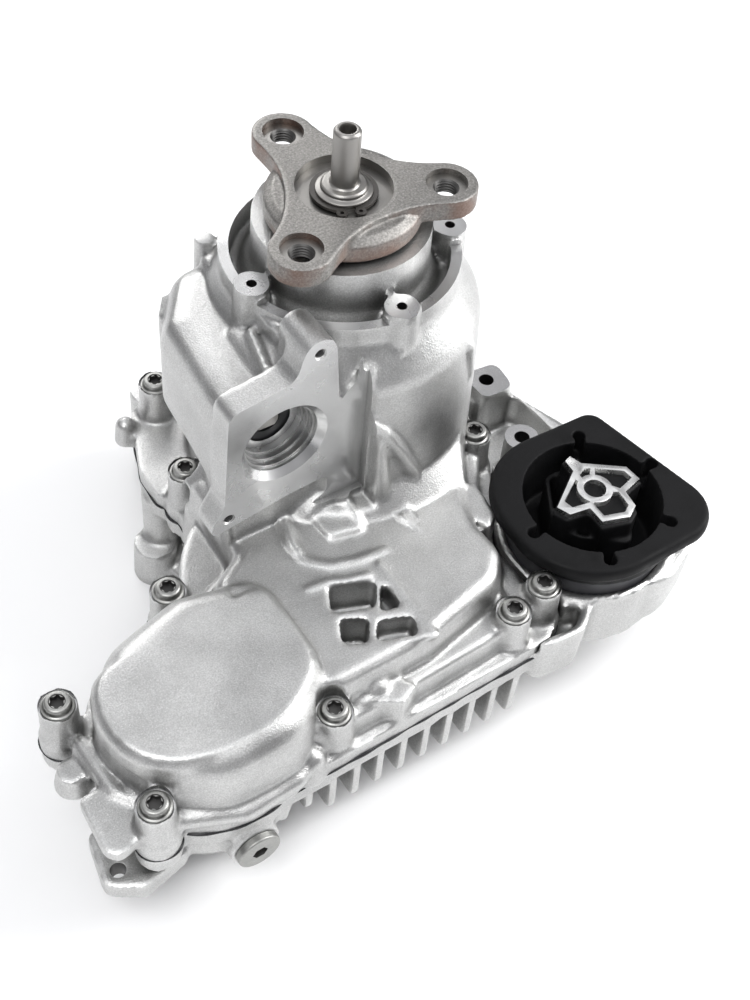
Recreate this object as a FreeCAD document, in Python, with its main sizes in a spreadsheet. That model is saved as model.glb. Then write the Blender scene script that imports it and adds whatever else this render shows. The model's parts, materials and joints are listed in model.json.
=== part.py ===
import FreeCAD
import Part
import Sketcher
import math
import os
import re
from types import SimpleNamespace

# Two-axis transfer case with an on-demand clutch.
# Row frame: origin on the main axis at the gearbox face, +Z along that axis towards the rear
# output flange, +X along the finned front edge towards the rubber mount. Lengths in millimetres.

Vector = FreeCAD.Vector
UP = Vector(0, 0, 1)

DRIVING_SIZES = [
    # fits
    ("running_gap", 0.05),
    ("seat_gap", 0.03),
    ("thread_gap", 0.05),
    # gear train
    ("gear_module", 3.0),
    ("drive_teeth", 26),
    ("idler_teeth", 40),
    ("gear_backlash", 0.16),
    ("tooth_tip_gap", 0.75),
    ("gear_foot", 48),
    ("gear_width", 28),
    ("front_axis_bearing", 219.8),
    ("idler_kink", 17.35),
    # levels along the main axis
    ("seam_level", 62),
    ("sealant_thickness", 0.5),
    ("rim_level", 210),
    ("groove_floor", 188),
    ("neck_top", 228.5),
    ("dome_level", 112),
    ("deck_level", 104),
    # rear housing
    ("bell_base_radius", 76),
    ("bell_radius", 72),
    ("bell_shoulder_level", 178),
    ("bell_wall", 7),
    ("rim_outer_radius", 58),
    ("rim_inner_radius", 54.4),
    ("neck_radius", 42),
    ("seam_flange_depth", 9),
    ("seam_flange_reach", 4),
    ("dome_radius", 52),
    ("screw_seat_level", 91.5),
    ("screw_boss_radius", 9),
    ("rim_boss_radius", 8.2),
    ("rim_boss_rise", 5),
    ("rim_boss_circle", 54),
    ("rim_boss_hole_radius", 2.5),
    # actuator flange
    ("actuator_face", -62),
    ("worm_axis_x", -66.3),
    ("worm_axis_z", 164.7),
    ("actuator_bore_radius", 19.5),
    ("actuator_chamfer_radius", 23),
    ("actuator_bore_depth", 16),
    ("actuator_thread_radius", 2.5),
    ("actuator_thread_depth", 16),
    ("actuator_plate_depth", 15),
    # front housing
    ("face_radius", 96),
    ("face_depth", 13),
    ("face_bolt_circle", 200),
    ("face_bolt_count", 6),
    ("face_bolt_radius", 4.25),
    ("face_bolt_depth", 20),
    ("face_bolt_start", 50),
    ("face_ear_radius", 13),
    ("tube_radius", 82),
    ("front_flange_depth", 11),
    ("belly_level", 38),
    ("front_lobe_radius", 46),
    ("front_lobe_foot", 8),
    ("fin_count", 11),
    ("fin_pitch", 13.6),
    ("fin_thickness", 4.6),
    ("fin_first_x", -127.6),
    ("fin_front_y", -168),
    ("fin_foot", 14),
    ("lug_hole_radius", 3.8),
    ("arm_foot", 40),
    ("arm_top", 76),
    ("arm_lug_radius", 9.5),
    ("arm_lug_top", 85),
    ("arm_lug_hole_radius", 4.25),
    # rubber mount
    ("mount_x", 80.5),
    ("mount_y", -124.2),
    ("mount_ring_radius", 46),
    ("sleeve_radius", 41.5),
    ("sleeve_wall", 2.5),
    ("sleeve_foot", 44),
    ("sleeve_top", 86),
    ("rubber_foot", 50),
    ("rubber_plate_foot", 97),
    ("rubber_top", 105),
    ("rubber_plate_radius", 50),
    ("rubber_opening_radius", 36),
    ("rubber_floor", 70),
    ("core_foot", 46),
    ("core_top", 110.5),
    ("core_bore_radius", 5.8),
    ("core_hub_radius", 9.5),
    ("core_wall", 3),
    # main shaft
    ("shaft_foot", 6),
    ("shaft_radius", 19),
    ("front_journal_radius", 20),
    ("front_journal_top", 46),
    ("rear_journal_foot", 186),
    ("rear_journal_radius", 17.5),
    ("spline_foot", 213),
    ("spline_radius", 13.5),
    ("spline_top", 244.5),
    ("collar_radius", 11),
    ("collar_top", 247.5),
    ("pin_radius", 6.5),
    ("pin_top", 277),
    ("pin_hole_radius", 4),
    ("pin_hole_depth", 9),
    ("input_bore_radius", 13),
    ("input_bore_depth", 36),
    # output flange
    ("flange_bolt_circle", 96),
    ("flange_bolt_radius", 5.25),
    ("flange_arm_count", 3),
    ("flange_first_arm", 94.9),
    ("flange_tip_radius", 15),
    ("flange_waist_radius", 27.5),
    ("flange_top", 245.5),
    ("flange_arm_thickness", 10.5),
    ("flange_disc_radius", 37.3),
    ("flange_disc_foot", 230.5),
    ("flange_disc_top", 242.5),
    ("flange_recess_radius", 23),
    ("flange_recess_depth", 4.5),
    ("flange_spotface_radius", 10),
    ("flange_spotface_depth", 3.2),
    ("flange_hub_radius", 21),
    ("circlip_level", 242),
    ("circlip_thickness", 1.5),
    ("circlip_radius", 16),
    ("circlip_groove_depth", 1.2),
    # bearings and seals
    ("main_bearing_width", 15),
    ("front_bearing_foot", 17),
    ("front_bearing_outer", 36),
    ("rear_bearing_foot", 195),
    ("rear_bearing_outer", 36),
    ("seal_width", 8),
    ("input_seal_foot", 7),
    ("input_seal_outer", 29),
    ("rear_seal_foot", 218),
    ("rear_seal_outer", 32),
    ("output_lower_foot", 26),
    ("output_lower_outer", 34),
    ("output_upper_foot", 82),
    ("output_upper_outer", 26),
    ("output_bearing_width", 14),
    ("output_seal_foot", 14),
    ("output_seal_outer", 30),
    # front output shaft
    ("output_shaft_foot", 4),
    ("output_shaft_radius", 18),
    ("output_upper_radius", 14),
    ("output_shaft_top", 98),
    ("output_bore_radius", 11.5),
    ("output_bore_depth", 30),
    # idler
    ("idler_pin_radius", 12),
    ("idler_pin_foot", 39),
    ("idler_pin_top", 82),
    ("idler_bush_wall", 3),
    ("cavity_clearance", 2.2),
    # clutch
    ("hub_foot", 94),
    ("hub_top", 126),
    ("hub_radius", 34),
    ("hub_web", 8),
    ("drum_web_foot", 84),
    ("drum_web_thickness", 6),
    ("drum_neck_radius", 30),
    ("drum_radius", 61),
    ("drum_wall", 3),
    ("drum_top", 134),
    ("plate_count", 4),
    ("plate_thickness", 3),
    ("plate_gap", 0.5),
    ("plate_first_level", 93.5),
    ("friction_outer_radius", 55),
    ("steel_inner_radius", 36),
    ("plate_fit", 0.1),
    ("pressure_plate_foot", 126.5),
    ("pressure_plate_thickness", 5.5),
    ("clutch_travel", 1.2),
    ("thrust_bearing_width", 3.5),
    ("thrust_inner_radius", 40),
    ("thrust_outer_radius", 52),
    # ball ramp and worm drive
    ("ramp_ring_foot", 136.2),
    ("ramp_ring_top", 146),
    ("ramp_ring_inner", 41),
    ("ramp_ring_outer", 57),
    ("ramp_tab_reach", 68.5),
    ("ramp_tab_width", 12),
    ("ramp_tab_bearing", 90),
    ("ramp_tab_gap", 0.3),
    ("ball_radius", 4),
    ("ball_circle", 48),
    ("ball_count", 3),
    ("ball_gap", 0.12),
    ("ramp_sweep", 40),
    ("control_ring_foot", 150),
    ("control_ring_top", 171),
    ("control_ring_inner", 41),
    ("worm_module", 2),
    ("worm_wheel_teeth", 57),
    ("worm_teeth_cut", 17),
    ("worm_face_width", 9),
    ("worm_backlash", 0.5),
    ("worm_tooth_gap", 0.45),
    ("worm_length", 30),
    ("worm_stem_radius", 6),
    ("worm_nose_y", -45.5),
    ("worm_tail_y", 34),
    ("worm_bearing_width", 8),
    ("worm_front_bearing_y", -38),
    ("worm_rear_bearing_y", 24),
    ("worm_front_bearing_outer", 14),
    ("worm_rear_bearing_outer", 11),
    ("worm_chamber_radius", 13.5),
    ("worm_seal_y", -45),
    ("worm_seal_width", 6),
    # screws, dowels and plugs
    ("screw_radius", 4),
    ("screw_foot", 40),
    ("screw_head_radius", 8),
    ("screw_flange_height", 1.6),
    ("screw_head_height", 5.2),
    ("screw_socket_radius", 3.4),
    ("screw_socket_depth", 3),
    ("screw_hole_gap", 0.4),
    ("dowel_radius", 6),
    ("dowel_wall", 1.3),
    ("dowel_length", 14),
    ("plug_radius", 8),
    ("plug_head_radius", 11),
    ("plug_head_height", 4),
    ("plug_length", 12),
    ("plug_socket_radius", 4),
    ("drain_level", 41),
]

ALIASES = [alias for alias, _ in DRIVING_SIZES]
ALIAS_WORD = re.compile(r"\b(" + "|".join(sorted(ALIASES, key=len, reverse=True)) + r")\b")

doc = FreeCAD.newDocument("transfer_case")
sheet = doc.addObject("Spreadsheet::Sheet", "Sheet")
for row, (alias, value) in enumerate(DRIVING_SIZES, start=1):
    sheet.set("A%d" % row, alias.replace("_", " "))
    sheet.set("B%d" % row, str(value))
    sheet.setAlias("B%d" % row, alias)
doc.recompute()
size = SimpleNamespace(**{alias: float(getattr(sheet, alias)) for alias in ALIASES})

parts = {}


def bound(expression):
    """Write an expression of size names as one on the spreadsheet's cells."""
    return ALIAS_WORD.sub(r"Sheet.\1", expression)


def keep(label, thing):
    """Give a sub-part its name."""
    thing.Label = label
    parts[label] = thing
    return thing


def shaped(label, shape, place=None):
    """Keep a shape made by Part's functions, placed afterwards."""
    feature = doc.addObject("Part::Feature", label)
    feature.Shape = shape
    feature.Placement = place or FreeCAD.Placement()
    return keep(label, feature)


def turned(label, section, place=None):
    """Revolve a section of (radius, height) expressions about its own Z axis."""
    body = doc.addObject("PartDesign::Body", label)
    sketch = body.newObject("Sketcher::SketchObject", label + "_section")
    plane = [face for face in body.Origin.OriginFeatures if face.Role == "XZ_Plane"][0]
    sketch.AttachmentSupport = [(plane, "")]
    sketch.MapMode = "FlatFace"
    corners = [(sheet.evalExpression(u), sheet.evalExpression(w)) for u, w in section]
    points = [Vector(float(u), float(w), 0) for u, w in corners]
    for index, start in enumerate(points):
        sketch.addGeometry(Part.LineSegment(start, points[(index + 1) % len(points)]), False)
    for index in range(len(corners)):
        sketch.addConstraint(Sketcher.Constraint("Coincident", index, 2, (index + 1) % len(corners), 1))
    for index, expressions in enumerate(section):
        for kind, expression, value in zip(("DistanceX", "DistanceY"), expressions, corners[index]):
            number = sketch.addConstraint(Sketcher.Constraint(kind, -1, 1, index, 1, float(value)))
            sketch.setExpression("Constraints[%d]" % number, bound(expression))
    revolution = body.newObject("PartDesign::Revolution", label + "_turned")
    revolution.Profile = sketch
    revolution.ReferenceAxis = (sketch, ["V_Axis"])
    revolution.Angle = 360
    body.Placement = place or FreeCAD.Placement()
    return keep(label, body)


def polar(reach, bearing, centre=Vector()):
    """A point at a reach and a bearing in degrees from a centre."""
    angle = math.radians(bearing)
    return centre + Vector(reach * math.cos(angle), reach * math.sin(angle), 0)


def at(point):
    """A placement that only moves."""
    return FreeCAD.Placement(point, FreeCAD.Rotation())


def cylinder(centre, radius, foot, top):
    """A solid cylinder standing on Z between two levels."""
    return Part.makeCylinder(radius, top - foot, Vector(centre.x, centre.y, foot))


def tapered(centre, foot_radius, top_radius, foot, top):
    """A drafted boss between two levels."""
    return Part.makeCone(foot_radius, top_radius, top - foot, Vector(centre.x, centre.y, foot))


def tube(centre, outer, inner, foot, top):
    """A ring between two levels."""
    return cylinder(centre, outer, foot, top).cut(cylinder(centre, inner, foot - 1, top + 1))


def lying(point, radius, length, axis=Vector(0, 1, 0)):
    """A cylinder that starts at a point and runs along an axis."""
    return Part.makeCylinder(radius, length, point, axis)


def inset_corners(corners, inset):
    """Move every side of a counterclockwise outline inwards by the inset."""
    moved = []
    count = len(corners)
    for index in range(count):
        before, here, after = (Vector(*corners[(index + step) % count][:2], 0) for step in (-1, 0, 1))
        first = (here - before).normalize()
        second = (after - here).normalize()
        first_normal = Vector(-first.y, first.x, 0)
        second_normal = Vector(-second.y, second.x, 0)
        bisector = first_normal + second_normal
        shift = bisector * (inset / max(1e-6, bisector.dot(first_normal)))
        radius = corners[index][2]
        convex = first.x * second.y - first.y * second.x > 0
        radius = max(0.5, radius - inset if convex else radius + inset)
        moved.append((here.x + shift.x, here.y + shift.y, radius))
    return moved


def rounded_wire(corners, level=0.0):
    """A closed outline of (x, y, corner radius) points with tangent arcs at its corners."""
    count = len(corners)
    arcs = []
    for index in range(count):
        before, here, after = (Vector(*corners[(index + step) % count][:2], level) for step in (-1, 0, 1))
        into = before - here
        out = after - here
        turn = into.getAngle(out)
        room = 0.49 * min(into.Length, out.Length)
        reach = min(room, corners[index][2] / math.tan(turn / 2))
        start = here + into.normalize() * reach
        end = here + out.normalize() * reach
        radius = reach * math.tan(turn / 2)
        toward = (into + out).normalize()
        middle = here + toward * (radius / math.sin(turn / 2) - radius)
        arcs.append((start, middle, end))
    edges = []
    for index, (start, middle, end) in enumerate(arcs):
        edges.append(Part.Arc(start, middle, end).toShape())
        edges.append(Part.LineSegment(end, arcs[(index + 1) % count][0]).toShape())
    return Part.Wire(edges)


def outline_block(corners, foot, top):
    """A straight block over a rounded outline."""
    face = Part.Face(rounded_wire(corners, foot))
    return face.extrude(Vector(0, 0, top - foot))


def cast_block(corners, levels):
    """A cast block whose sides step in over (level, inset) pairs."""
    wires = [rounded_wire(inset_corners(corners, inset), level) for level, inset in levels]
    return Part.makeLoft(wires, True, True)


def revolved(section, centre=Vector()):
    """Revolve a rounded (radius, height, corner radius) section about a vertical axis."""
    wire = rounded_wire(section)
    wire.rotate(Vector(), Vector(1, 0, 0), 90)
    wire.translate(Vector(centre.x, centre.y, 0))
    return Part.Face(wire).revolve(Vector(centre.x, centre.y, 0), UP, 360)


def joined(solids):
    """Fuse solids and merge the faces that lie in one surface, where that leaves a sound solid."""
    fused = solids[0]
    for solid in solids[1:]:
        fused = fused.fuse(solid)
    cleaned = fused.copy().removeSplitter()
    return cleaned if cleaned.isValid() else fused


def less(solid, cutters):
    """Cut all cutters away from a solid."""
    return solid.cut(cutters[0].multiFuse(cutters[1:]) if len(cutters) > 1 else cutters[0])


# Axes of the gear train. The idler's centre sits off the line between the two shafts.
MAIN = Vector()
drive_pitch_radius = size.gear_module * size.drive_teeth / 2
idler_pitch_radius = size.gear_module * size.idler_teeth / 2
gear_centres = drive_pitch_radius + idler_pitch_radius
front_reach = 2 * gear_centres * math.cos(math.radians(size.idler_kink))
FRONT = polar(front_reach, size.front_axis_bearing)
IDLER = polar(gear_centres, size.front_axis_bearing + size.idler_kink)
MOUNT = Vector(size.mount_x, size.mount_y, 0)
gear_top = size.gear_foot + size.gear_width
rear_foot = size.seam_level + size.sealant_thickness

drive_tip_radius = drive_pitch_radius + size.gear_module
idler_tip_radius = idler_pitch_radius + size.gear_module
cavity_top = gear_top + size.cavity_clearance
cavity_foot = size.gear_foot - size.cavity_clearance

# Seam screws, in plan: a ring round both lobes.
SCREWS = [
    FRONT + Vector(-43.4, -39.7, 0),
    FRONT + Vector(-57.5, 27.6, 0),
    FRONT + Vector(48.8, -38.8, 0),
    Vector(8.7, -156.3, 0),
    Vector(31, -151, 0),
    FRONT + Vector(15.5, 59.4, 0),
    Vector(-86.4, 1.3, 0),
    Vector(59.4, -51.5, 0),
    Vector(-71, 63.6, 0),
]
DOWEL_SCREWS = (2, 7)


def flange_plan():
    """Blocks whose plan is the seam outline that both castings share."""
    reach = size.seam_flange_reach
    apron = [
        (FRONT.x, FRONT.y - size.dome_radius, 6),
        (26, -168, 14),
        (43, -157, 12),
        (38, -128, 20),
        (42, -100, 30),
        (70, -56, 12),
        (74, -20, 10),
        (0, 20, 4),
        (-94, 14, 8),
        (-97, -40, 12),
        (-122, -70, 12),
        (FRONT.x, FRONT.y + size.dome_radius, 12),
    ]
    heel = [
        (-99, 8, 8), (-60, -10, 4), (0, 40, 4), (-30, 78, 12), (-62, 84, 10), (-84, 70, 10), (-99, 30, 12),
    ]
    return [apron, heel], [
        (MAIN, size.bell_base_radius + reach),
        (FRONT, size.dome_radius + reach / 2),
        (IDLER, idler_tip_radius + size.cavity_clearance + size.bell_wall),
    ] + [(screw, size.screw_boss_radius + 2) for screw in SCREWS]


def seam_block(foot, top, grow=0.0):
    """The seam outline between two levels, grown a little where asked."""
    outlines, circles = flange_plan()
    solids = [outline_block(inset_corners(corners, -grow), foot, top) for corners in outlines]
    solids += [cylinder(centre, radius + grow, foot, top) for centre, radius in circles]
    return joined(solids)


def gear_cavities(foot, top):
    """The space for the three gears, which both castings share."""
    room = size.cavity_clearance
    return [
        cylinder(MAIN, drive_tip_radius + room, foot, top),
        cylinder(IDLER, idler_tip_radius + room, foot, top),
        cylinder(FRONT, drive_tip_radius + room, foot, top),
    ]


def screw_holes(foot, top):
    """Clearance holes for the seam screws."""
    return [cylinder(screw, size.screw_radius + size.screw_hole_gap, foot, top) for screw in SCREWS]


def dowel_pockets():
    """Counterbores at the seam for the hollow dowels."""
    middle = (size.seam_level + rear_foot) / 2
    half = size.dowel_length / 2 + 0.5
    radius = size.dowel_radius + size.seat_gap
    return [cylinder(SCREWS[index], radius, middle - half, middle + half) for index in DOWEL_SCREWS]


def actuator_plate():
    """The machined flange plate for the actuator, with its two screw lobes."""
    face = size.actuator_face
    depth = size.actuator_plate_depth
    x = size.worm_axis_x
    z = size.worm_axis_z
    corners = [
        (x - 39, z - 46, 9),
        (x + 4, z - 38, 8),
        (x + 32, z - 36, 4),
        (x + 27.5, z + 31, 10),
        (x + 25.5, z + 52, 6),
        (x + 17, z + 59, 8.5),
        (x + 8.5, z + 52, 7),
        (x + 5, z + 38, 10),
        (x - 29.5, z + 33, 7),
        (x - 32, z - 27, 6),
        (x - 39.5, z - 40, 8),
    ]
    wire = rounded_wire(corners)
    wire.rotate(Vector(), Vector(1, 0, 0), 90)
    wire.translate(Vector(0, face, 0))
    return Part.Face(wire).extrude(Vector(0, depth, 0))


def actuator_thread_places():
    """Centres of the two actuator screw holes on the machined face."""
    x = size.worm_axis_x
    z = size.worm_axis_z
    face = size.actuator_face
    return [Vector(x + 17, face, z + 49.6), Vector(x - 29.9, face, z - 37.5)]


def rear_casting_solids():
    """The outer forms of the rear casting."""
    flange_top = rear_foot + size.seam_flange_depth
    shoulder = size.bell_shoulder_level
    rim_step = size.rim_outer_radius
    bell = revolved([
        (0.0, rear_foot, 0.1),
        (size.bell_base_radius, rear_foot, 0.5),
        (size.bell_radius, shoulder - 14, 40),
        (size.bell_radius - 1, shoulder + 3, 16),
        (rim_step + 0.5, size.rim_level - 10, 7),
        (rim_step, size.rim_level - 3, 1),
        (rim_step - 1.2, size.rim_level, 0.6),
        (size.rim_inner_radius, size.rim_level, 0.4),
        (size.rim_inner_radius, size.groove_floor, 2.5),
        (size.neck_radius + 1, size.groove_floor, 4),
        (size.neck_radius, size.neck_top - 3, 2),
        (size.neck_radius - 3, size.neck_top, 1.5),
        (0.0, size.neck_top, 0.1),
    ])
    dome_corners = [
        (FRONT.x - 53, FRONT.y + 8, 32),
        (FRONT.x - 42, FRONT.y - 34, 32),
        (FRONT.x - 12, FRONT.y - 53, 32),
        (FRONT.x + 26, FRONT.y - 52, 32),
        (FRONT.x + 56, FRONT.y - 27, 22),
        (FRONT.x + 58, FRONT.y + 38, 20),
        (FRONT.x + 12, FRONT.y + 50, 30),
        (FRONT.x - 32, FRONT.y + 37, 30),
    ]
    dome_top = size.dome_level
    dome = cast_block(dome_corners, [
        (rear_foot, -1), (dome_top - 22, 1.5), (dome_top - 12, 2.5), (dome_top - 7, 4.2),
        (dome_top - 3.5, 7), (dome_top - 1, 10.5), (dome_top, 15),
    ])
    ledge_top = rear_foot + 24
    ledge_corners = [
        (-112, -166, 10), (-60, -165, 30), (-8, -162, 24), (24, -158, 14), (31, -135, 20), (28, -104, 30),
        (60, -58, 12), (66, -20, 10), (-30, 0, 5), (-96, -10, 6), (-98, -60, 10), (-128, -74, 10),
    ]
    ledge = cast_block(ledge_corners, [(rear_foot, -1), (ledge_top - 2, 1), (ledge_top, 3)])
    deck_top = size.deck_level
    deck_corners = [
        (-104, -158, 16), (-40, -156, 30), (10, -144, 24), (23, -128, 16), (22, -100, 30), (52, -54, 12),
        (50, -20, 10), (-30, 0, 5), (-94, -12, 6), (-96, -62, 8), (-116, -74, 10),
    ]
    deck = cast_block(deck_corners, [(rear_foot, -2), (deck_top - 10, 1), (deck_top - 3, 3), (deck_top, 7)])
    skirt = tapered(MAIN, 94, size.bell_radius - 1, deck_top - 8, deck_top + 15)
    skirt_room = outline_block([
        (-92, -108, 6), (20, -108, 6), (40, -60, 12), (30, 0, 3), (-92, 0, 3),
    ], deck_top - 8, deck_top + 40)
    skirt = skirt.common(skirt_room)
    box_top = size.worm_axis_z + 26
    box_front = size.actuator_face + 4
    box_corners = [
        (-97, box_front, 4), (-34, box_front, 3), (-30, 10, 3), (-34, 50, 12), (-70, 44, 18), (-91, 14, 14),
    ]
    box_root = [
        (-96, box_front, 4), (-34, box_front, 3), (-30, 10, 3), (-34, 47, 10), (-62, 38, 14), (-75, 8, 14),
    ]
    box = cast_block(box_corners, [
        (BOX_BULGE_TOP, 0), (box_top - 16, 0), (box_top - 7, 2.5), (box_top - 4, 4.5), (box_top - 2, 7), (box_top, 13),
    ])
    bulge_wires = [rounded_wire(box_root, BOX_BULGE_FOOT), rounded_wire(box_corners, BOX_BULGE_TOP)]
    box = box.fuse([
        cast_block(box_root, [(rear_foot, -1), (BOX_BULGE_FOOT, 0)]), Part.makeLoft(bulge_wires, True, True),
    ])
    lobe_place = actuator_thread_places()[0]
    lobe = lying(lobe_place, 8.5, 24).fuse(Part.makeBox(14, 23, 14, lobe_place + Vector(-8, 1, -13)))
    solids = [seam_block(rear_foot, flange_top), bell, dome, ledge, deck, skirt, box, actuator_plate(), lobe]
    idler_wall = idler_tip_radius + size.cavity_clearance + size.bell_wall
    solids.append(cylinder(IDLER, idler_wall, rear_foot, cavity_top + size.bell_wall))
    solids.append(screw_pocket_wall())
    boss_foot_radius = size.screw_boss_radius + 1.2
    solids += [tapered(screw, boss_foot_radius, size.screw_boss_radius, rear_foot, size.screw_seat_level)
               for screw in SCREWS]
    for bearing in RIM_BOSS_BEARINGS:
        place = polar(size.rim_boss_circle, bearing)
        boss_top = size.rim_level + size.rim_boss_rise
        solids.append(tapered(place, size.rim_boss_radius + 1, size.rim_boss_radius, size.groove_floor, boss_top))
    solids += rear_ribs()
    return solids


def screw_pocket_wall():
    """The pad at the lower left corner and its round bulges."""
    pad = outline_block([
        (FRONT.x - 68, FRONT.y - 11, 4), (FRONT.x - 69.5, FRONT.y - 40, 5), (FRONT.x - 64, FRONT.y - 46, 4),
        (FRONT.x - 50, FRONT.y - 42, 4), (FRONT.x - 44, FRONT.y - 10, 4),
    ], rear_foot + 8, rear_foot + 15)
    bulge = tapered(FRONT + Vector(-63, 5, 0), 9.5, 7, rear_foot, rear_foot + 12)
    return pad.fuse(bulge)


RIM_BOSS_BEARINGS = (188.6, 269, 341, 62)
BOX_BULGE_FOOT = 113.0
BOX_BULGE_TOP = 138.0


def rear_ribs():
    """Ribs, the finger, knobs and pegs on the outside of the rear casting."""
    thin = 3.4
    ribs = []
    spine = Part.makeBox(thin, 16, 43, Vector(-28.5, -77, 160))
    ribs.append(spine.common(cylinder(MAIN, size.bell_radius + 4.5, 130, 204)))
    ribs += [round_rib(start, end, radius) for start, end, radius in ROUND_RIBS]
    finger_foot = Vector(-15.8, -70.2, size.deck_level - 2)
    finger_tip = Vector(-20, -69, 149)
    finger_run = finger_tip - finger_foot
    finger = Part.makeCone(7.6, 6, finger_run.Length, finger_foot, finger_run)
    ribs.append(finger.fuse(Part.makeSphere(6, finger_tip)))
    ribs.append(tapered(Vector(-48, 47, 0), 6.5, 5, 160, 199))
    for start, end, top, foot in LEG_RIBS:
        ribs.append(rib_between(start, end, thin, foot, top))
    for centre, radius, top in KNOBS:
        knob = tapered(centre, radius + 1, radius, rear_foot, top)
        ribs.append(knob.fuse(Part.makeSphere(radius, Vector(centre.x, centre.y, top - 1))))
    return ribs


ROUND_RIBS = [
    (Vector(-26.5, -67.5, 162), Vector(-35, -63.5, 104), 3.2),
    (Vector(-26.5, -67.5, 162), Vector(-16.7, -71.1, 154), 3.2),
    (Vector(-16.7, -71.1, 154), Vector(-6.5, -72.7, 136.6), 3.2),
    (Vector(-6.5, -72.7, 136.6), Vector(4.7, -72.8, 112.3), 3.2),
    (Vector(4.7, -72.8, 112.3), Vector(11.6, -76, 92), 3.4),
    (Vector(-50, 36, 190), Vector(-53, 12, 189.5), 6.2),
]
LEG_RIBS = [
    (Vector(-55, -12, 0), Vector(-52, -52, 0), 206, 186),
    (Vector(-60, -18, 0), Vector(-68, -50, 0), 200, 184),
]
KNOBS = [
    (Vector(-113, -166.5, 0), 7.3, 76),
    (Vector(-71, -154.5, 0), 7.6, 88),
    (Vector(-91.6, 61, 0), 5.5, 74),
]


def round_rib(start, end, radius):
    """A rib with a rounded back that runs straight between two points."""
    along = end - start
    rod = Part.makeCylinder(radius, along.Length, start, along)
    return rod.fuse([Part.makeSphere(radius, start), Part.makeSphere(radius, end)])


def rib_between(start, end, thickness, foot, top):
    """An upright rib of even thickness between two plan points."""
    along = end - start
    length = along.Length
    bar = Part.makeBox(length, thickness, top - foot, Vector(0, -thickness / 2, 0))
    bar.Placement = FreeCAD.Placement(Vector(start.x, start.y, foot), FreeCAD.Rotation(Vector(1, 0, 0), along))
    return bar


WINDOW_CELLS = [
    ([(-72.6, -118.2, 3), (-52.3, -125.4, 3), (-44.3, -113, 3), (-66, -104.8, 3)], 0),
    ([(-52.6, -129.9, 2), (-41.4, -130.7, 2), (-41.4, -112.6, 2)], 8),
    ([(-77.6, -135.8, 2.5), (-66.6, -141, 2.5), (-59.2, -129.5, 2.5), (-71.5, -123.5, 2.5)], 0),
    ([(-63.2, -142.3, 2), (-44, -149.7, 2.5), (-40.4, -139.1, 2.5), (-56, -133.2, 2)], 7),
]


def pocket_cutters():
    """The ribbed window in the deck: four cells between the bars that the casting keeps."""
    top = size.deck_level + 6
    floor = cavity_top + 6
    cells = [outline_block(corners, floor + rise, top) for corners, rise in WINDOW_CELLS]
    return cells[0].multiFuse(cells[1:])


def make_rear_housing():
    """The rear casting: bell, dome, deck, actuator flange and neck."""
    solid = joined(rear_casting_solids())
    bell_room = size.bell_base_radius - size.bell_wall - 2
    ring_room = size.worm_module * size.worm_wheel_teeth / 2 + size.worm_module + size.cavity_clearance
    web = size.control_ring_top + 5
    hub_outer = size.control_ring_inner - size.running_gap
    shaft_room = size.shaft_radius + size.cavity_clearance
    inner = [
        cylinder(MAIN, bell_room - 3, rear_foot - 1, size.ramp_ring_top + 2),
        tube(MAIN, ring_room, hub_outer, size.ramp_ring_top + 2, web),
        cylinder(MAIN, shaft_room, rear_foot - 1, size.rear_bearing_foot),
        cylinder(MAIN, size.rear_bearing_outer + size.seat_gap, size.rear_bearing_foot,
                 size.rear_bearing_foot + size.main_bearing_width + 0.2),
        cylinder(MAIN, size.flange_hub_radius + 3, size.rear_bearing_foot, size.neck_top + 1),
        cylinder(MAIN, size.rear_seal_outer + size.seat_gap, size.rear_seal_foot, size.neck_top + 1),
        cylinder(FRONT, size.output_upper_outer + size.seat_gap, cavity_top - 1,
                 size.output_upper_foot + size.output_bearing_width + 0.2),
        cylinder(FRONT, size.output_upper_radius + 2, cavity_top, size.output_shaft_top + 2),
        cylinder(IDLER, size.idler_pin_radius + size.seat_gap, rear_foot, size.idler_pin_top + 0.2),
    ]
    inner += gear_cavities(rear_foot - 1, cavity_top)
    inner += tab_slots()
    solid = less(solid, inner)
    x = size.worm_axis_x
    z = size.worm_axis_z
    face = Vector(x, size.actuator_face - 1, z)
    worm_cutters = [
        lying(face, size.actuator_bore_radius, size.actuator_bore_depth + 1),
        Part.makeCone(size.actuator_chamfer_radius + 1, size.actuator_bore_radius, 4.5, face, Vector(0, 1, 0)),
        lying(face, size.worm_front_bearing_outer + size.seat_gap,
              size.worm_front_bearing_y + size.worm_bearing_width - face.y),
        lying(face, size.worm_chamber_radius - 0.5, size.worm_rear_bearing_y - face.y),
        lying(face, size.worm_rear_bearing_outer + size.seat_gap,
              size.worm_rear_bearing_y + size.worm_bearing_width + 4 - face.y),
    ]
    worm_cutters += [
        lying(place - Vector(0, 1, 0), size.actuator_thread_radius, size.actuator_thread_depth + 1)
        for place in actuator_thread_places()
    ]
    worm_cutters += [
        cylinder(polar(size.rim_boss_circle, bearing), size.rim_boss_hole_radius,
                 size.rim_level - 8, size.rim_level + size.rim_boss_rise + 1)
        for bearing in RIM_BOSS_BEARINGS
    ]
    worm_cutters += screw_holes(rear_foot - 1, size.dome_level + 20)
    worm_cutters += [
        cylinder(screw, size.screw_head_radius + 1, size.screw_seat_level, size.dome_level + 20)
        for screw in SCREWS
    ]
    worm_cutters += dowel_pockets()
    worm_cutters.append(pocket_cutters())
    worm_cutters.append(mount_relief())
    worm_cutters.append(Part.makeBox(90, 40, 120, Vector(x - 45, size.actuator_face - 40, z - 56)))
    solid = less(solid, worm_cutters)
    return shaped("rear_housing", solid)


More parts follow.
